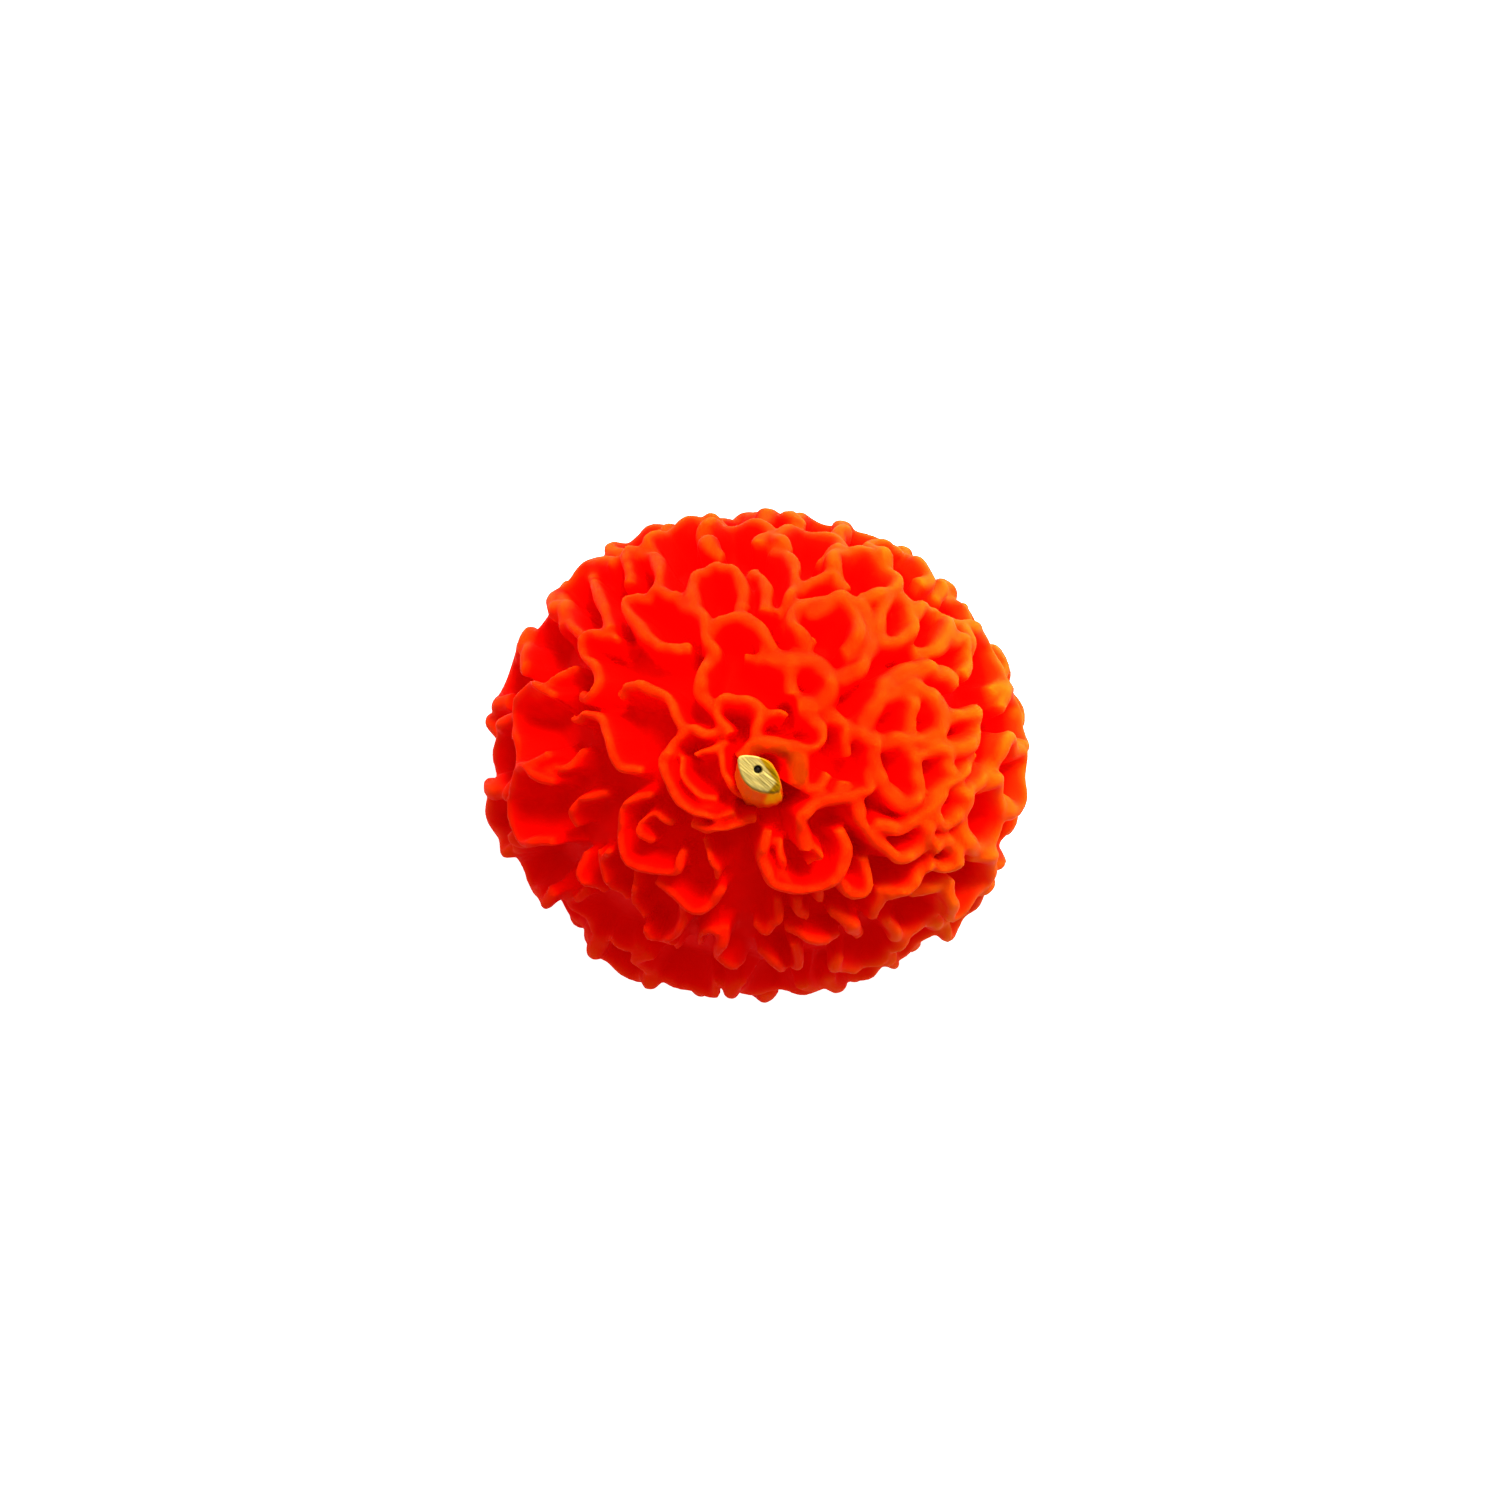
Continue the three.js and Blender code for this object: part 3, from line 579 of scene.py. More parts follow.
def addSheet(bm, surface, acrossSteps, width, flare, rims):
    # a wall as a sheet: its thickness goes into a vertex group, and the points of its rim into rims
    weights = bm.verts.layers.deform.verify()
    made = bmesh.ops.create_grid(bm, x_segments=acrossSteps, y_segments=wallShape["upSteps"], size=1)
    for vert in made["verts"]:
        across = vert.co.x
        up = (vert.co.y + 1) / 2
        vert.co = surface(across, up)
        if up > 0.999:
            rims.append(vert.co.copy())
        nearRim = smoothStep(wallShape["roundFrom"], 1, up)
        wall = wallShape["evenShare"] * width * math.sqrt(1 - wallShape["rounding"] * nearRim ** 2)
        wall *= 1 + wallShape["uneven"] * noise.noise(vert.co * wallShape["unevenScale"])
        wall += wallShape["footFlare"] * flare * (1 - up) ** wallShape["footPower"]
        vert[weights][0] = wall / wallShape["most"]


def addPetals(bm, draw, fine, rims):
    places, taken = petalPlaces(draw)
    for place in places:
        surface = petalSurface(petalShape(place, draw, fine), places, taken)
        fineWidth = mix(*wallShape["fineWidth"], place["fineness"])
        outerWidth = mix(*wallShape["outerWidth"], smoothStep(*wallShape["outerTilts"], place["tilt"]))
        width = wallShape["petalRim"] * max(fineWidth, outerWidth)
        flare = mix(*wallShape["fineFlare"], place["fineness"])
        addSheet(bm, surface, wallShape["acrossSteps"], width, flare, rims)
    print("petals", len(places))


def addFolds(bm, folds, drop, fine, rims):
    for width, points in folds:
        length = sum((Vector(b) - Vector(a)).length for a, b in zip(points, points[1:]))
        x, y = points[len(points) // 2]
        full = smoothStep(*foldShape["fullRange"], x + y)
        bottom = smoothStep(*foldShape["lowRange"], -y)
        corner = smoothStep(*foldShape["cornerRange"], -0.6 * x - 0.8 * y)
        sunk = drop + mix(foldShape["thinDrop"], 0, full) + foldShape["nearDrop"] * max(bottom, corner)
        surface = foldSurface(points, length, sunk, fine)
        steps = max(foldShape["fewestSteps"], round(length / foldShape["step"]))
        flare = mix(*foldShape["fullFlare"], full)
        addSheet(bm, surface, steps, width * mix(*foldShape["fullWidth"], full), flare, rims)
    print("folds", len(folds))


def markWax(piece, rims):
    # ridge is 1 where the wax stands out and 0 in a pocket, rise the height over the dome as a share
    # of a petal's reach, and rim and film fade away from the rims and from the wick's film; rim, painted
    # light, is also weaker towards the shaded lower left
    soft = piece.copy()
    soft.data = piece.data.copy()
    scene.collection.objects.link(soft)
    modify(soft, ("SMOOTH", {"factor": 1, "iterations": waxMarks["softening"]}))
    tree = kdtree.KDTree(len(rims))
    for i, point in enumerate(rims):
        tree.insert(point, i)
    tree.balance()
    filmLine = [mapPoint(x, y, bloom["rimSpread"]) for x, y in waxMarks["filmLine"]]
    radii = bloom["coreRadii"]
    marks = {"ridge": [], "rise": [], "film": [], "rim": []}
    for vert, softer in zip(piece.data.vertices, soft.data.vertices):
        point = vert.co
        standing = (point - softer.co).dot(vert.normal)
        marks["ridge"].append(smoothStep(*waxMarks["ridge"], standing))
        share = max(0, (point.z - bloom["coreMiddle"]) / radii.z)
        x = (point.x - bloom["crownDrift"].x * share) / radii.x
        y = (point.y - bloom["crownDrift"].y * share) / radii.y
        z = (point.z - bloom["coreMiddle"]) / radii.z
        away = math.sqrt(x * x + y * y + max(0, z) ** 2)
        marks["rise"].append((away - 1) * radii.y / bloom["petalReach"])
        # painted light: the rims are painted more strongly towards the upper right, where the lamp is,
        # and less on the shaded lower left
        toFine = smoothStep(*waxMarks["litSideRange"], 0.6 * point.x + 0.8 * point.y)
        fade = 1 - smoothStep(*waxMarks["rimFade"], tree.find(point)[2])
        marks["rim"].append(mix(*waxMarks["rimStrength"], toFine) * fade)
        near = min((point - other).length for other in filmLine)
        marks["film"].append(1 - smoothStep(*waxMarks["filmFade"], near))
    for name, values in marks.items():
        piece.data.attributes.new(name, "FLOAT", "POINT").data.foreach_set("value", values)
    bpy.data.objects.remove(soft)


def removeStrays(bm):
    # pinhead bubbles inside the wax go, so that it is one closed skin
    unseen = set(bm.verts)
    islands = []
    while unseen:
        island = [unseen.pop()]
        for vert in island:
            linked = {edge.other_vert(vert) for edge in vert.link_edges} & unseen
            unseen -= linked
            island.extend(linked)
        islands.append(island)
    islands.sort(key=len)
    strays = [vert for island in islands[:-1] for vert in island]
    bmesh.ops.delete(bm, geom=strays, context="VERTS")
    print("strays", len(islands) - 1, "with", len(strays), "vertices")


def flattenBase(bm):
    # cuts off what hangs below the base, just above it for a clean edge, and closes the cut at the table
    whole = bm.verts[:] + bm.edges[:] + bm.faces[:]
    level = Vector((0, 0, casting["baseCut"]))
    cut = bmesh.ops.bisect_plane(bm, geom=whole, dist=0.0001, plane_co=level, plane_no=(0, 0, 1),
        clear_inner=True)
    edges = [item for item in cut["geom_cut"] if isinstance(item, bmesh.types.BMEdge)]
    for edge in edges:
        edge.smooth = False
        for vert in edge.verts:
            vert.co.z = 0
    bmesh.ops.triangle_fill(bm, edges=edges, use_beauty=True, normal=(0, 0, -1))
    print("base", len(edges), "edges,", sum(not edge.is_manifold for edge in bm.edges), "open")


def bloomPiece():
    draw = drawsFrom(bloom["seed"])
    fine = drawsFrom(bloom["fineSeed"])
    rims = []
    bm = bmesh.new()
    addPetals(bm, draw, fine, rims)
    addFolds(bm, crownFolds, 0, fine, rims)
    addFolds(bm, faintFolds, foldShape["faintDrop"], fine, rims)
    addFolds(bm, collarFolds, foldShape["filmDrop"], fine, rims)
    piece = meshObject("bloom", bm)
    piece.vertex_groups.new(name="wall")
    modify(piece, ("SOLIDIFY", {"thickness": wallShape["most"], "offset": 0, "vertex_group": "wall"}))
    # the dome joins the walls, and they become one skin
    core = meshObject("core", coreMesh())
    bm = bmesh.new()
    bm.from_mesh(piece.data)
    bm.from_mesh(core.data)
    bm.to_mesh(piece.data)
    bm.free()
    bpy.data.objects.remove(core)
    modify(piece,
        ("REMESH", {"mode": "VOXEL", "voxel_size": casting["voxel"]}),
        ("SMOOTH", {"factor": 0.5, "iterations": casting["smoothing"]}))
    modify(piece, ("DECIMATE", {"ratio": casting["triangles"] / (2 * len(piece.data.polygons))}))
    piece.data.validate()
    bm = bmesh.new()
    bm.from_mesh(piece.data)
    removeStrays(bm)
    flattenBase(bm)
    bm.to_mesh(piece.data)
    bm.free()
    markWax(piece, rims)
    # a touch smaller, so that the rounded rims stay inside the CAD model's box
    return finished(piece, toMetres @ Matrix.Diagonal((casting["shrink"], casting["shrink"], 1, 1)))


def newMaterial(name):
    material = bpy.data.materials.new(name)
    material.use_nodes = True
    return material, material.node_tree.nodes, material.node_tree.links


def node(nodes, kind, **settings):
    made = nodes.new("ShaderNode" + kind)
    for key, value in settings.items():
        if hasattr(made, key):
            setattr(made, key, value)
        else:
            made.inputs[key.replace("_", " ")].default_value = value
    return made


def attribute(nodes, name):
    return node(nodes, "Attribute", attribute_name=name).outputs["Fac"]


def mapRange(nodes, source, target, **settings):
    ends = {"From_Min": source[0], "From_Max": source[1], "To_Min": target[0], "To_Max": target[1]}
    return node(nodes, "MapRange", **ends, **settings)


def smoothRange(nodes, source, top):
    return mapRange(nodes, source, (0, top), interpolation_type="SMOOTHSTEP")


def addBump(nodes, links, shader, height, **settings):
    bump = node(nodes, "Bump", **settings)
    links.new(height, bump.inputs["Height"])
    links.new(bump.outputs["Normal"], shader.inputs["Normal"])
    return bump


def colorRamp(nodes, tones):
    ramp = node(nodes, "ValToRGB")
    stops = ramp.color_ramp.elements
    stops[0].color = tones[0][1]
    stops[1].color = tones[-1][1]
    for place, color in tones[1:-1]:
        stops.new(place).color = color
    return ramp


def product(nodes, links, first, second):
    made = node(nodes, "Math", operation="MULTIPLY")
    links.new(first, made.inputs[0])
    links.new(second, made.inputs[1])
    return made.outputs["Value"]


def setShader(shader, look):
    shader.inputs["Roughness"].default_value = look["roughness"]
    shader.inputs["Specular IOR Level"].default_value = look["shine"]
    shader.inputs["Specular Tint"].default_value = look["shineTint"]
    shader.inputs["Subsurface Weight"].default_value = look["depth"]
    shader.inputs["Subsurface Radius"].default_value = look["depthRadius"]
    shader.inputs["Subsurface Scale"].default_value = look["depthScale"]


# The wax is orange-red; raised rims are painted a lighter orange as painted light, the pockets a deeper
# red as painted shade
waxLook = {
    "roughness": 0.6,
    "shine": 0.03,
    "shineTint": (1, 0.12, 0.004, 1),
    "depth": 0.35,
    "depthRadius": (1, 0.25, 0.05),
    "depthScale": 0.0015,
    "hollowShadeRidgeLight": (0.6, 1.0),  # painted shade on a rim in a hollow, and painted light where it stands out
    "openRise": (0.25, 0.7),  # how high the wax stands where the painted light of the lit side and the film's brown start to show
    "unlitPlace": (-0.007, 0.001, 0),  # away from here the wax is painted lighter, as painted light from the lamp's side
    "litReach": (0.015, 0.033),
    "litTone": 0.42,
    "outline": (0.026, 0.024),
    "edgeReach": (0.86, 1.0),
    "edgeTone": 0.25,
    "rimTone": 0.7,
    # from painted shade in the pockets (0) to painted light on the rims (1)
    "tones": (
        (0, (0.86, 0.0006, 0.0001, 1)),
        (0.2, (0.92, 0.002, 0.0002, 1)),
        (0.45, (0.95, 0.017, 0.0004, 1)),
        (0.7, (0.96, 0.046, 0.0006, 1)),
        (1, (0.97, 0.12, 0.002, 1)),
    ),
    "film": (0.38, 0.026, 0.0003, 1),
    "mottleScale": 420,
    "mottleRange": (0.3, 0.7),
    "mottleShade": (0.94, 1.03),
    "bump": 0.35,
    "bumpDepth": 0.0003,
}


def paintedLitSideAndEdge(nodes, links, place):
    # painted light: the wax is painted lighter orange on the side towards the lamp, and it is also
    # lighter orange all round the outline
    level = node(nodes, "VectorMath", operation="MULTIPLY")
    level.inputs[1].default_value = (1, 1, 0)
    links.new(place.outputs["Object"], level.inputs[0])
    away = node(nodes, "VectorMath", operation="DISTANCE")
    away.inputs[1].default_value = waxLook["unlitPlace"]
    links.new(level.outputs["Vector"], away.inputs[0])
    lit = smoothRange(nodes, waxLook["litReach"], waxLook["litTone"])
    links.new(away.outputs["Value"], lit.inputs["Value"])
    span = node(nodes, "VectorMath", operation="MULTIPLY")
    span.inputs[1].default_value = (1 / waxLook["outline"][0], 1 / waxLook["outline"][1], 0)
    links.new(place.outputs["Object"], span.inputs[0])
    reach = node(nodes, "VectorMath", operation="LENGTH")
    links.new(span.outputs["Vector"], reach.inputs[0])
    edge = smoothRange(nodes, waxLook["edgeReach"], waxLook["edgeTone"])
    links.new(reach.outputs["Value"], edge.inputs["Value"])
    lighter = node(nodes, "Math", operation="MAXIMUM")
    links.new(lit.outputs["Result"], lighter.inputs[0])
    links.new(edge.outputs["Result"], lighter.inputs[1])
    return lighter.outputs["Value"]


def waxMaterial():
    material, nodes, links = newMaterial("wax")
    shader = nodes["Principled BSDF"]
    setShader(shader, waxLook)
    ridge, rise, rim, film = (attribute(nodes, name) for name in ("ridge", "rise", "rim", "film"))
    place = node(nodes, "TexCoord")
    # painted light and shade: lighter orange where the wax stands out, near the rims and on the lit
    # side, a deeper red in the hollows
    standing = mapRange(nodes, (0, 1), waxLook["hollowShadeRidgeLight"])
    links.new(ridge, standing.inputs["Value"])
    raised = smoothRange(nodes, waxLook["openRise"], 1)
    links.new(rise, raised.inputs["Value"])
    paintedLightShade = node(nodes, "Math", operation="MULTIPLY_ADD", use_clamp=True)
    links.new(product(nodes, links, standing.outputs["Result"], rim), paintedLightShade.inputs[0])
    paintedLightShade.inputs[1].default_value = waxLook["rimTone"]
    # painted light on the lamp's side, and the lighter outline
    litSideAndEdge = paintedLitSideAndEdge(nodes, links, place)
    links.new(product(nodes, links, litSideAndEdge, raised.outputs["Result"]), paintedLightShade.inputs[2])
    ramp = colorRamp(nodes, waxLook["tones"])
    links.new(paintedLightShade.outputs["Value"], ramp.inputs["Fac"])
    # the film round the wick has taken on some of its brown
    browned = node(nodes, "Mix", data_type="RGBA", blend_type="MIX")
    browned.inputs["B"].default_value = waxLook["film"]
    filmed = product(nodes, links, film, raised.outputs["Result"])
    links.new(filmed, browned.inputs["Factor"])
    links.new(ramp.outputs["Color"], browned.inputs["A"])
    mottle = node(nodes, "TexNoise", Scale=waxLook["mottleScale"], Detail=4, Roughness=0.55)
    links.new(place.outputs["Object"], mottle.inputs["Vector"])
    shade = mapRange(nodes, waxLook["mottleRange"], waxLook["mottleShade"])
    links.new(mottle.outputs["Fac"], shade.inputs["Value"])
    mottled = node(nodes, "Mix", data_type="RGBA", blend_type="MULTIPLY", Factor=1.0)
    links.new(browned.outputs["Result"], mottled.inputs["A"])
    links.new(shade.outputs["Result"], mottled.inputs["B"])
    links.new(mottled.outputs["Result"], shader.inputs["Base Color"])
    addBump(nodes, links, shader, mottle.outputs["Fac"],
        Strength=waxLook["bump"], Distance=waxLook["bumpDepth"])
    return material


candle = bloomPiece()
candle.data.materials.append(waxMaterial())
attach(candle, "root")
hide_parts("wax_bloom")


# The wick: a flattened almond at the cut, with a film of wax up its sides
wickShape = {
    "radius": 1.35,
    "freeRise": 6.6,
    "foot": Vector((-0.6, 0.9)),  # where it leaves the wax, off the crown
    "lean": Vector((-0.35, 1.8)),  # how far the tip stands off that foot
    "halfLength": 2.4,
    "halfWidth": 1.42,
    "pointed": 0.38,
    "turn": -40,
    "sunk": 3.0,
    "rootPinch": 0.8,
    "cutDrop": 0.32,
    "cutSlope": 0.16,
    "cutRound": 0.25,
    "cutRough": 0.05,
    "holeOffset": Vector((-0.1, 0.42)),
    "holeRadius": 0.33,
    "holeDepth": 0.5,
    "beadDrop": 0.32,
    "grooves": 14,
    "grooveDepth": 0.015,
    "lump": 0.06,
    "skirt": 0.5,  # how far the wax hangs out on the lower side, and along it
    "skirtShift": 0.15,
    "sides": 96,
    "levels": 30,
    "faceRings": 26,
}
wickColors = {
    "cream": Vector((0.60, 0.45, 0.12)),
    "olive": Vector((0.35, 0.175, 0.0005)),
    "gold": Vector((0.62, 0.24, 0.01)),
    "amber": Vector((0.97, 0.44, 0.0005)),
    "film": Vector((0.92, 0.085, 0.0003)),
}
# Where the colours lie on the sides and on the cut
wickMarks = {
    "amberTurn": 0.35,
    "amberEnd": (0.85, 0.95),
    "amberFrom": (0.2, 0.4),
    "amberTo": (0.9, 1),
    "bareFrom": (0.94, 0.98),
    "coatLine": (0.8, 0.28),
    "coatFade": (0, 0.15),
    "coatEnd": (1.5, 1.7),
    "goldEdge": (0.93, 0.98),
    # how dark the cut is in and round the hole: partly the dark core, partly painted shade in the hole
    "coreDark": 0.9,
    "coreDarkAndHoleShadeRange": (0.28, 0.42),
    "streak": 0.4,
}
wickLook = {
    "roughness": 0.42,
    "shine": 0.12,
    "shineTint": (1, 0.5, 0.1, 1),
    "depth": 0.15,
    "depthRadius": (1, 0.5, 0.15),
    "depthScale": 0.0006,
    "strandStretch": (3, 0.4, 3),
    "strandScale": 1400,
    "strandRange": (0.3, 0.7),
    "strandShade": (0.88, 1.06),
    "bumpDepth": 0.00005,
    "sideStrands": 0.1,  # how strongly the strands show through the wax on the sides
}
coreLook = {
    "roughness": 0.5,
    "shine": 0.15,
    "sootScale": 4000,
    "tones": ((0, (0.002, 0.0015, 0.001, 1)), (1, (0.02, 0.014, 0.008, 1))),
    "bump": 0.4,
    "bumpDepth": 0.00005,
}
# only the high side of the sloping cut reaches the full height
wickTop = coreTop + wickShape["freeRise"] - wickShape["cutDrop"]


def wickLine(height):
    inWax = min(height, coreTop) / coreTop
    free = max(0, height - coreTop) / wickShape["freeRise"]
    level = (bloom["crownDrift"] + wickShape["foot"]) * inWax + wickShape["lean"] * free
    return Vector((*level, height))


def wickSection(angle, pinch):
    # the outline goes from round to an almond with pointed ends
    length = mix(wickShape["radius"], wickShape["halfLength"], pinch)
    width = mix(wickShape["radius"], wickShape["halfWidth"], pinch)
    taper = 1 - wickShape["pointed"] * pinch * math.cos(angle) ** 2
    return Vector((length * math.cos(angle), width * math.sin(angle) * taper))


def wickPlace(along, across, height):
    turn = math.radians(wickShape["turn"])
    x = along * math.cos(turn) - across * math.sin(turn)
    y = along * math.sin(turn) + across * math.cos(turn)
    return wickLine(height) + Vector((x, y, 0))


def wickHole():
    # the core's place in the cut, along it and across it
    turn = math.radians(wickShape["turn"])
    x, y = wickShape["holeOffset"]
    return Vector((x * math.cos(turn) + y * math.sin(turn), y * math.cos(turn) - x * math.sin(turn)))


def sideColor(angle, free):
    # a film of wax, amber at one end where it is thick, then the bare edge of the cut
    end = smoothStep(*wickMarks["amberEnd"], math.cos(angle + wickMarks["amberTurn"]))
    amber = end * smoothStep(*wickMarks["amberFrom"], free)
    amber *= 1 - smoothStep(*wickMarks["amberTo"], free)
    color = wickColors["film"].lerp(wickColors["amber"], amber)
    return color.lerp(wickColors["olive"], smoothStep(*wickMarks["bareFrom"], free))


def wickSide(angle, share):
    # a point of the side and its colour, from the foot in the wax up to the cut
    height = mix(coreTop - wickShape["sunk"], wickTop, share)
    free = max(0, (height - coreTop) / wickShape["freeRise"])
    settled = smoothStep(0, 0.3, share)
    pinch = mix(wickShape["rootPinch"], 1, smoothStep(0, 0.5, free)) * settled
    point = wickSection(angle, pinch)
    # lengthwise grooves that wander a little, and lumps
    groove = math.sin(wickShape["grooves"] * angle + 3 * math.sin(2.2 * free + angle))
    swell = wickShape["grooveDepth"] * groove
    swell += wickShape["lump"] * noise.noise(Vector((point.x, point.y, height * 0.6)))
    point *= 1 + swell * (1 - smoothStep(0.93, 1, free))
    # wax hangs on the lower side like a skirt
    full = settled * (1 - smoothStep(0.55, 0.93, free))
    if point.y < 0:
        point.y *= 1 + wickShape["skirt"] * full
        point.x -= wickShape["skirtShift"] * full * min(1, -point.y / wickShape["halfWidth"])
    rounding = wickShape["cutRound"] * smoothStep(0.97, 1, share)
    color = (*sideColor(angle, free), wickLook["sideStrands"])
    return wickPlace(point.x, point.y, height - rounding), color


def faceColor(along, across, away, size):
    # cream cotton with darker fibres and one light streak, wax over it on one side, dark in and round
    # the hole for the core: partly the core's own dark, partly painted shade in the hole
    start, slant = wickMarks["coatLine"]
    coat = smoothStep(*wickMarks["coatFade"], across - (start - slant * along))
    coat = max(coat, smoothStep(*wickMarks["coatEnd"], along))
    color = wickColors["cream"].lerp(wickColors["olive"], coat)
    color = color.lerp(wickColors["gold"], smoothStep(*wickMarks["goldEdge"], size) * (1 - coat))
    shade = 0.9 + 0.3 * noise.noise(Vector((along * 0.8, across * 5, 9.7))) - 0.07 * along
    # darker in and round the hole: partly the dark core, partly painted shade in the hole
    shade *= 1 - wickMarks["coreDark"] * (1 - smoothStep(*wickMarks["coreDarkAndHoleShadeRange"], away))
    streak = smoothStep(0.14, 0, abs(across - 0.42 + 0.1 * along)) * smoothStep(0.2, 0.5, along)
    shade *= 1 + wickMarks["streak"] * streak * (1 - coat)
    return color * shade


def wickFace(angle, size):
    # a point of the cut and its colour, with fibres along it and a hole for the core
    hole = wickHole()
    edge = wickSection(angle, 1)
    along = mix(hole.x, edge.x, size)
    across = mix(hole.y, edge.y, size)
    away = math.hypot(along - hole.x, across - hole.y)
    fibres = noise.noise(Vector((along * 0.9, across * 7, 3.1)))
    rise = wickShape["cutRough"] + wickShape["cutRough"] * fibres
    rise -= wickShape["cutRound"] * smoothStep(0.9, 1, size)
    rise += wickShape["cutSlope"] * across
    radius = wickShape["holeRadius"]
    rise -= wickShape["holeDepth"] * (1 - smoothStep(radius - 0.08, radius + 0.1, away))
    point = wickPlace(along, across, wickTop) + Vector((0, 0, rise))
    return point, (*faceColor(along, across, away, size), 1)


def wickPiece():
    # a grid rolled up into the sides, and drawn in over the cut
    levels = wickShape["levels"]
    rings = wickShape["faceRings"]
    bm = bmesh.new()
    tint = bm.verts.layers.float_color.new("tint")
    made = bmesh.ops.create_grid(bm, x_segments=wickShape["sides"], y_segments=levels + rings, size=1)
    for vert in made["verts"]:
        angle = math.pi * (vert.co.x + 1)
        row = round((vert.co.y + 1) / 2 * (levels + rings))
        if row <= levels:
            vert.co, vert[tint] = wickSide(angle, row / levels)
        else:
            vert.co, vert[tint] = wickFace(angle, 1 - (row - levels) / rings)
    bmesh.ops.remove_doubles(bm, verts=bm.verts, dist=0.0001)
    bmesh.ops.holes_fill(bm, edges=bm.edges)
    bmesh.ops.recalc_face_normals(bm, faces=bm.faces)
    return finished(meshObject("waxed_wick", bm))


def wickMaterial():
    material, nodes, links = newMaterial("waxed cotton")
    shader = nodes["Principled BSDF"]
    setShader(shader, wickLook)
    tint = node(nodes, "Attribute", attribute_name="tint")
    place = node(nodes, "TexCoord")
    # strands run along the cut's longer way
    along = node(nodes, "Mapping", vector_type="TEXTURE")
    along.inputs["Rotation"].default_value = (0, 0, math.radians(wickShape["turn"]))
    along.inputs["Scale"].default_value = wickLook["strandStretch"]
    links.new(place.outputs["Object"], along.inputs["Vector"])
    strands = node(nodes, "TexNoise", Scale=wickLook["strandScale"], Detail=4, Roughness=0.6)
    links.new(along.outputs["Vector"], strands.inputs["Vector"])
    shade = mapRange(nodes, wickLook["strandRange"], wickLook["strandShade"])
    links.new(strands.outputs["Fac"], shade.inputs["Value"])
    # bare cotton shows at the cut, smooth wax on the sides
    shaded = node(nodes, "Mix", data_type="RGBA", blend_type="MULTIPLY")
    links.new(tint.outputs["Alpha"], shaded.inputs["Factor"])
    links.new(tint.outputs["Color"], shaded.inputs["A"])
    links.new(shade.outputs["Result"], shaded.inputs["B"])
    links.new(shaded.outputs["Result"], shader.inputs["Base Color"])
    bump = addBump(nodes, links, shader, strands.outputs["Fac"], Distance=wickLook["bumpDepth"])
    links.new(tint.outputs["Alpha"], bump.inputs["Strength"])
    return material


def wickCorePiece():
    # the core ends as a small dark bead in the hole, drawn out downwards
    bm = bmesh.new()
    bmesh.ops.create_uvsphere(bm, u_segments=32, v_segments=16, radius=wickShape["holeRadius"])
    centre = wickLine(wickTop) + Vector((*wickShape["holeOffset"], -wickShape["beadDrop"]))
    for vert in bm.verts:
        vert.co *= 1 + 0.3 * noise.noise(vert.co * 4)
        vert.co.z *= 0.8 if vert.co.z > 0 else 4
        vert.co += centre
    return finished(meshObject("cotton_core", bm))


def coreMaterial():
    material, nodes, links = newMaterial("dark core")
    shader = nodes["Principled BSDF"]
    shader.inputs["Roughness"].default_value = coreLook["roughness"]
    shader.inputs["Specular IOR Level"].default_value = coreLook["shine"]
    place = node(nodes, "TexCoord")
    coreDark = node(nodes, "TexNoise", Scale=coreLook["sootScale"], Detail=3)
    links.new(place.outputs["Object"], coreDark.inputs["Vector"])
    ramp = colorRamp(nodes, coreLook["tones"])
    links.new(coreDark.outputs["Fac"], ramp.inputs["Fac"])
    links.new(ramp.outputs["Color"], shader.inputs["Base Color"])
    addBump(nodes, links, shader, coreDark.outputs["Fac"],
        Strength=coreLook["bump"], Distance=coreLook["bumpDepth"])
    return material


wick = wickPiece()
wick.data.materials.append(wickMaterial())
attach(wick, "root")
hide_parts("wick")

wickCore = wickCorePiece()
wickCore.data.materials.append(coreMaterial())
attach(wickCore, "root")
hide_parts("wick_core")


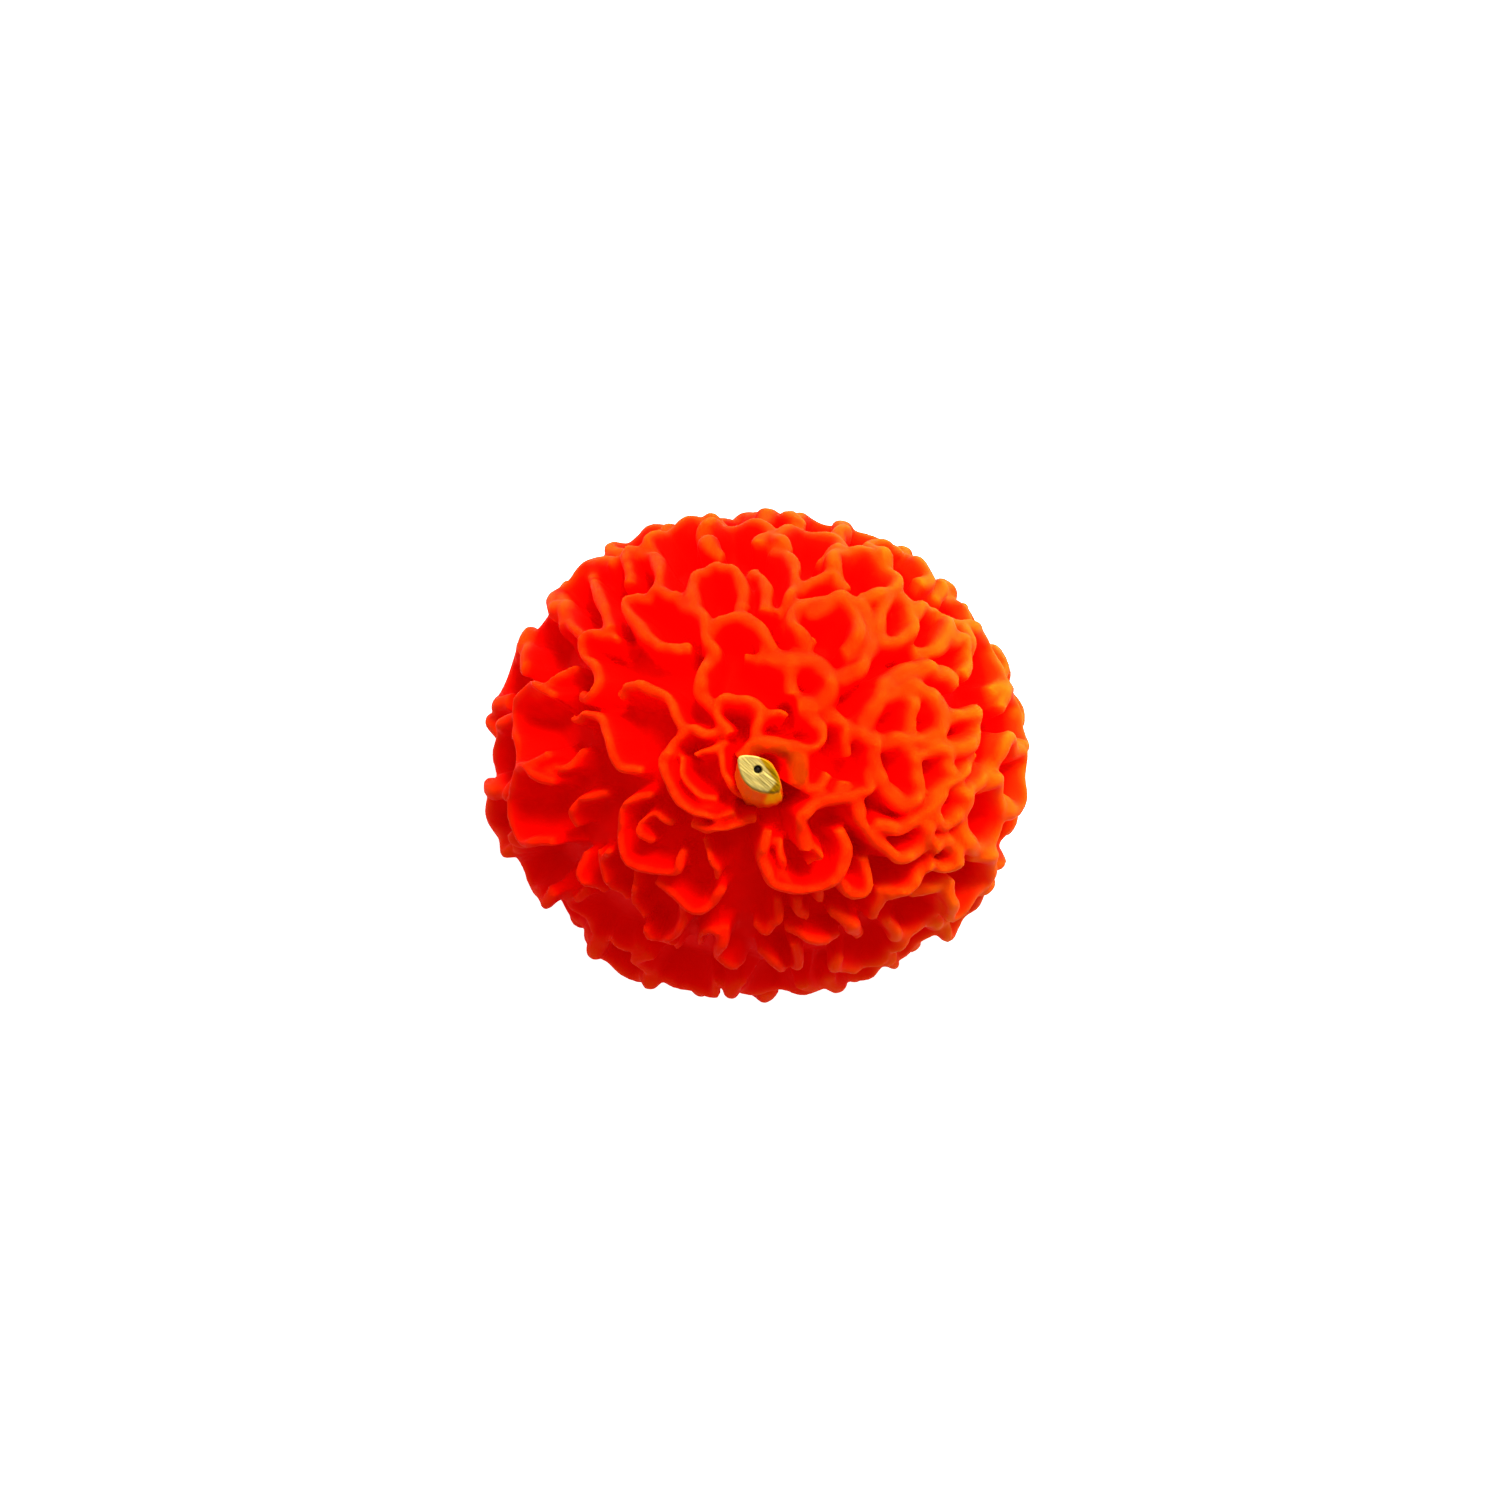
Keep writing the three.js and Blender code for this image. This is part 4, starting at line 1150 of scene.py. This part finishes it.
# Floor, lights and camera, in metres
studio = {
    "floorSize": 3,
    "floorDrop": 0.0002,
    "floorColor": (0.9, 0.9, 0.9, 1),
    "floorRoughness": 0.9,
    "floorGlow": 0.8,
    "skyStrength": 0.56,
    "keyPlace": (0.075, 0.2, 0.15),
    "keyTarget": (0, 0, 0.01),
    "keySize": 0.16,
    "keyPower": 1.55,
    "lens": 70,
    "cameraTilt": 5,
    "cameraDistance": 0.28,
    "cameraTarget": (0, 0, 0.008),
}


def addFloor():
    bm = bmesh.new()
    bmesh.ops.create_grid(bm, x_segments=1, y_segments=1, size=studio["floorSize"])
    bmesh.ops.translate(bm, verts=bm.verts, vec=(0, 0, -studio["floorDrop"]))
    piece = meshObject("floor", bm)
    material, nodes, links = newMaterial("floor")
    shader = nodes["Principled BSDF"]
    shader.inputs["Base Color"].default_value = studio["floorColor"]
    shader.inputs["Roughness"].default_value = studio["floorRoughness"]
    shader.inputs["Emission Color"].default_value = (1, 1, 1, 1)
    # seen by the camera it glows a little, so its shadows stay pale
    path = node(nodes, "LightPath")
    glow = node(nodes, "Math", operation="MULTIPLY")
    glow.inputs[1].default_value = studio["floorGlow"]
    links.new(path.outputs["Is Camera Ray"], glow.inputs[0])
    links.new(glow.outputs["Value"], shader.inputs["Emission Strength"])
    piece.data.materials.append(material)


def addLights():
    light = bpy.data.lights.new("key", "AREA")
    light.size = studio["keySize"]
    light.energy = studio["keyPower"]
    lamp = bpy.data.objects.new("key", light)
    lamp.location = studio["keyPlace"]
    aim = Vector(studio["keyTarget"]) - Vector(studio["keyPlace"])
    lamp.rotation_euler = aim.to_track_quat("-Z", "Y").to_euler()
    scene.collection.objects.link(lamp)
    sky = bpy.data.worlds.new("sky")
    scene.world = sky
    sky.use_nodes = True
    background = sky.node_tree.nodes["Background"]
    background.inputs["Color"].default_value = (1, 1, 1, 1)
    background.inputs["Strength"].default_value = studio["skyStrength"]


def addCamera():
    tilt = math.radians(studio["cameraTilt"])
    back = Vector((0, math.sin(tilt), math.cos(tilt)))
    data = bpy.data.cameras.new("camera")
    data.lens = studio["lens"]
    camera = bpy.data.objects.new("camera", data)
    camera.location = Vector(studio["cameraTarget"]) + back * studio["cameraDistance"]
    camera.rotation_euler = (-tilt, 0, 0)
    scene.collection.objects.link(camera)
    scene.camera = camera


addFloor()
addLights()
addCamera()
scene.view_settings.view_transform = "Standard"
print("floor, lights and camera")
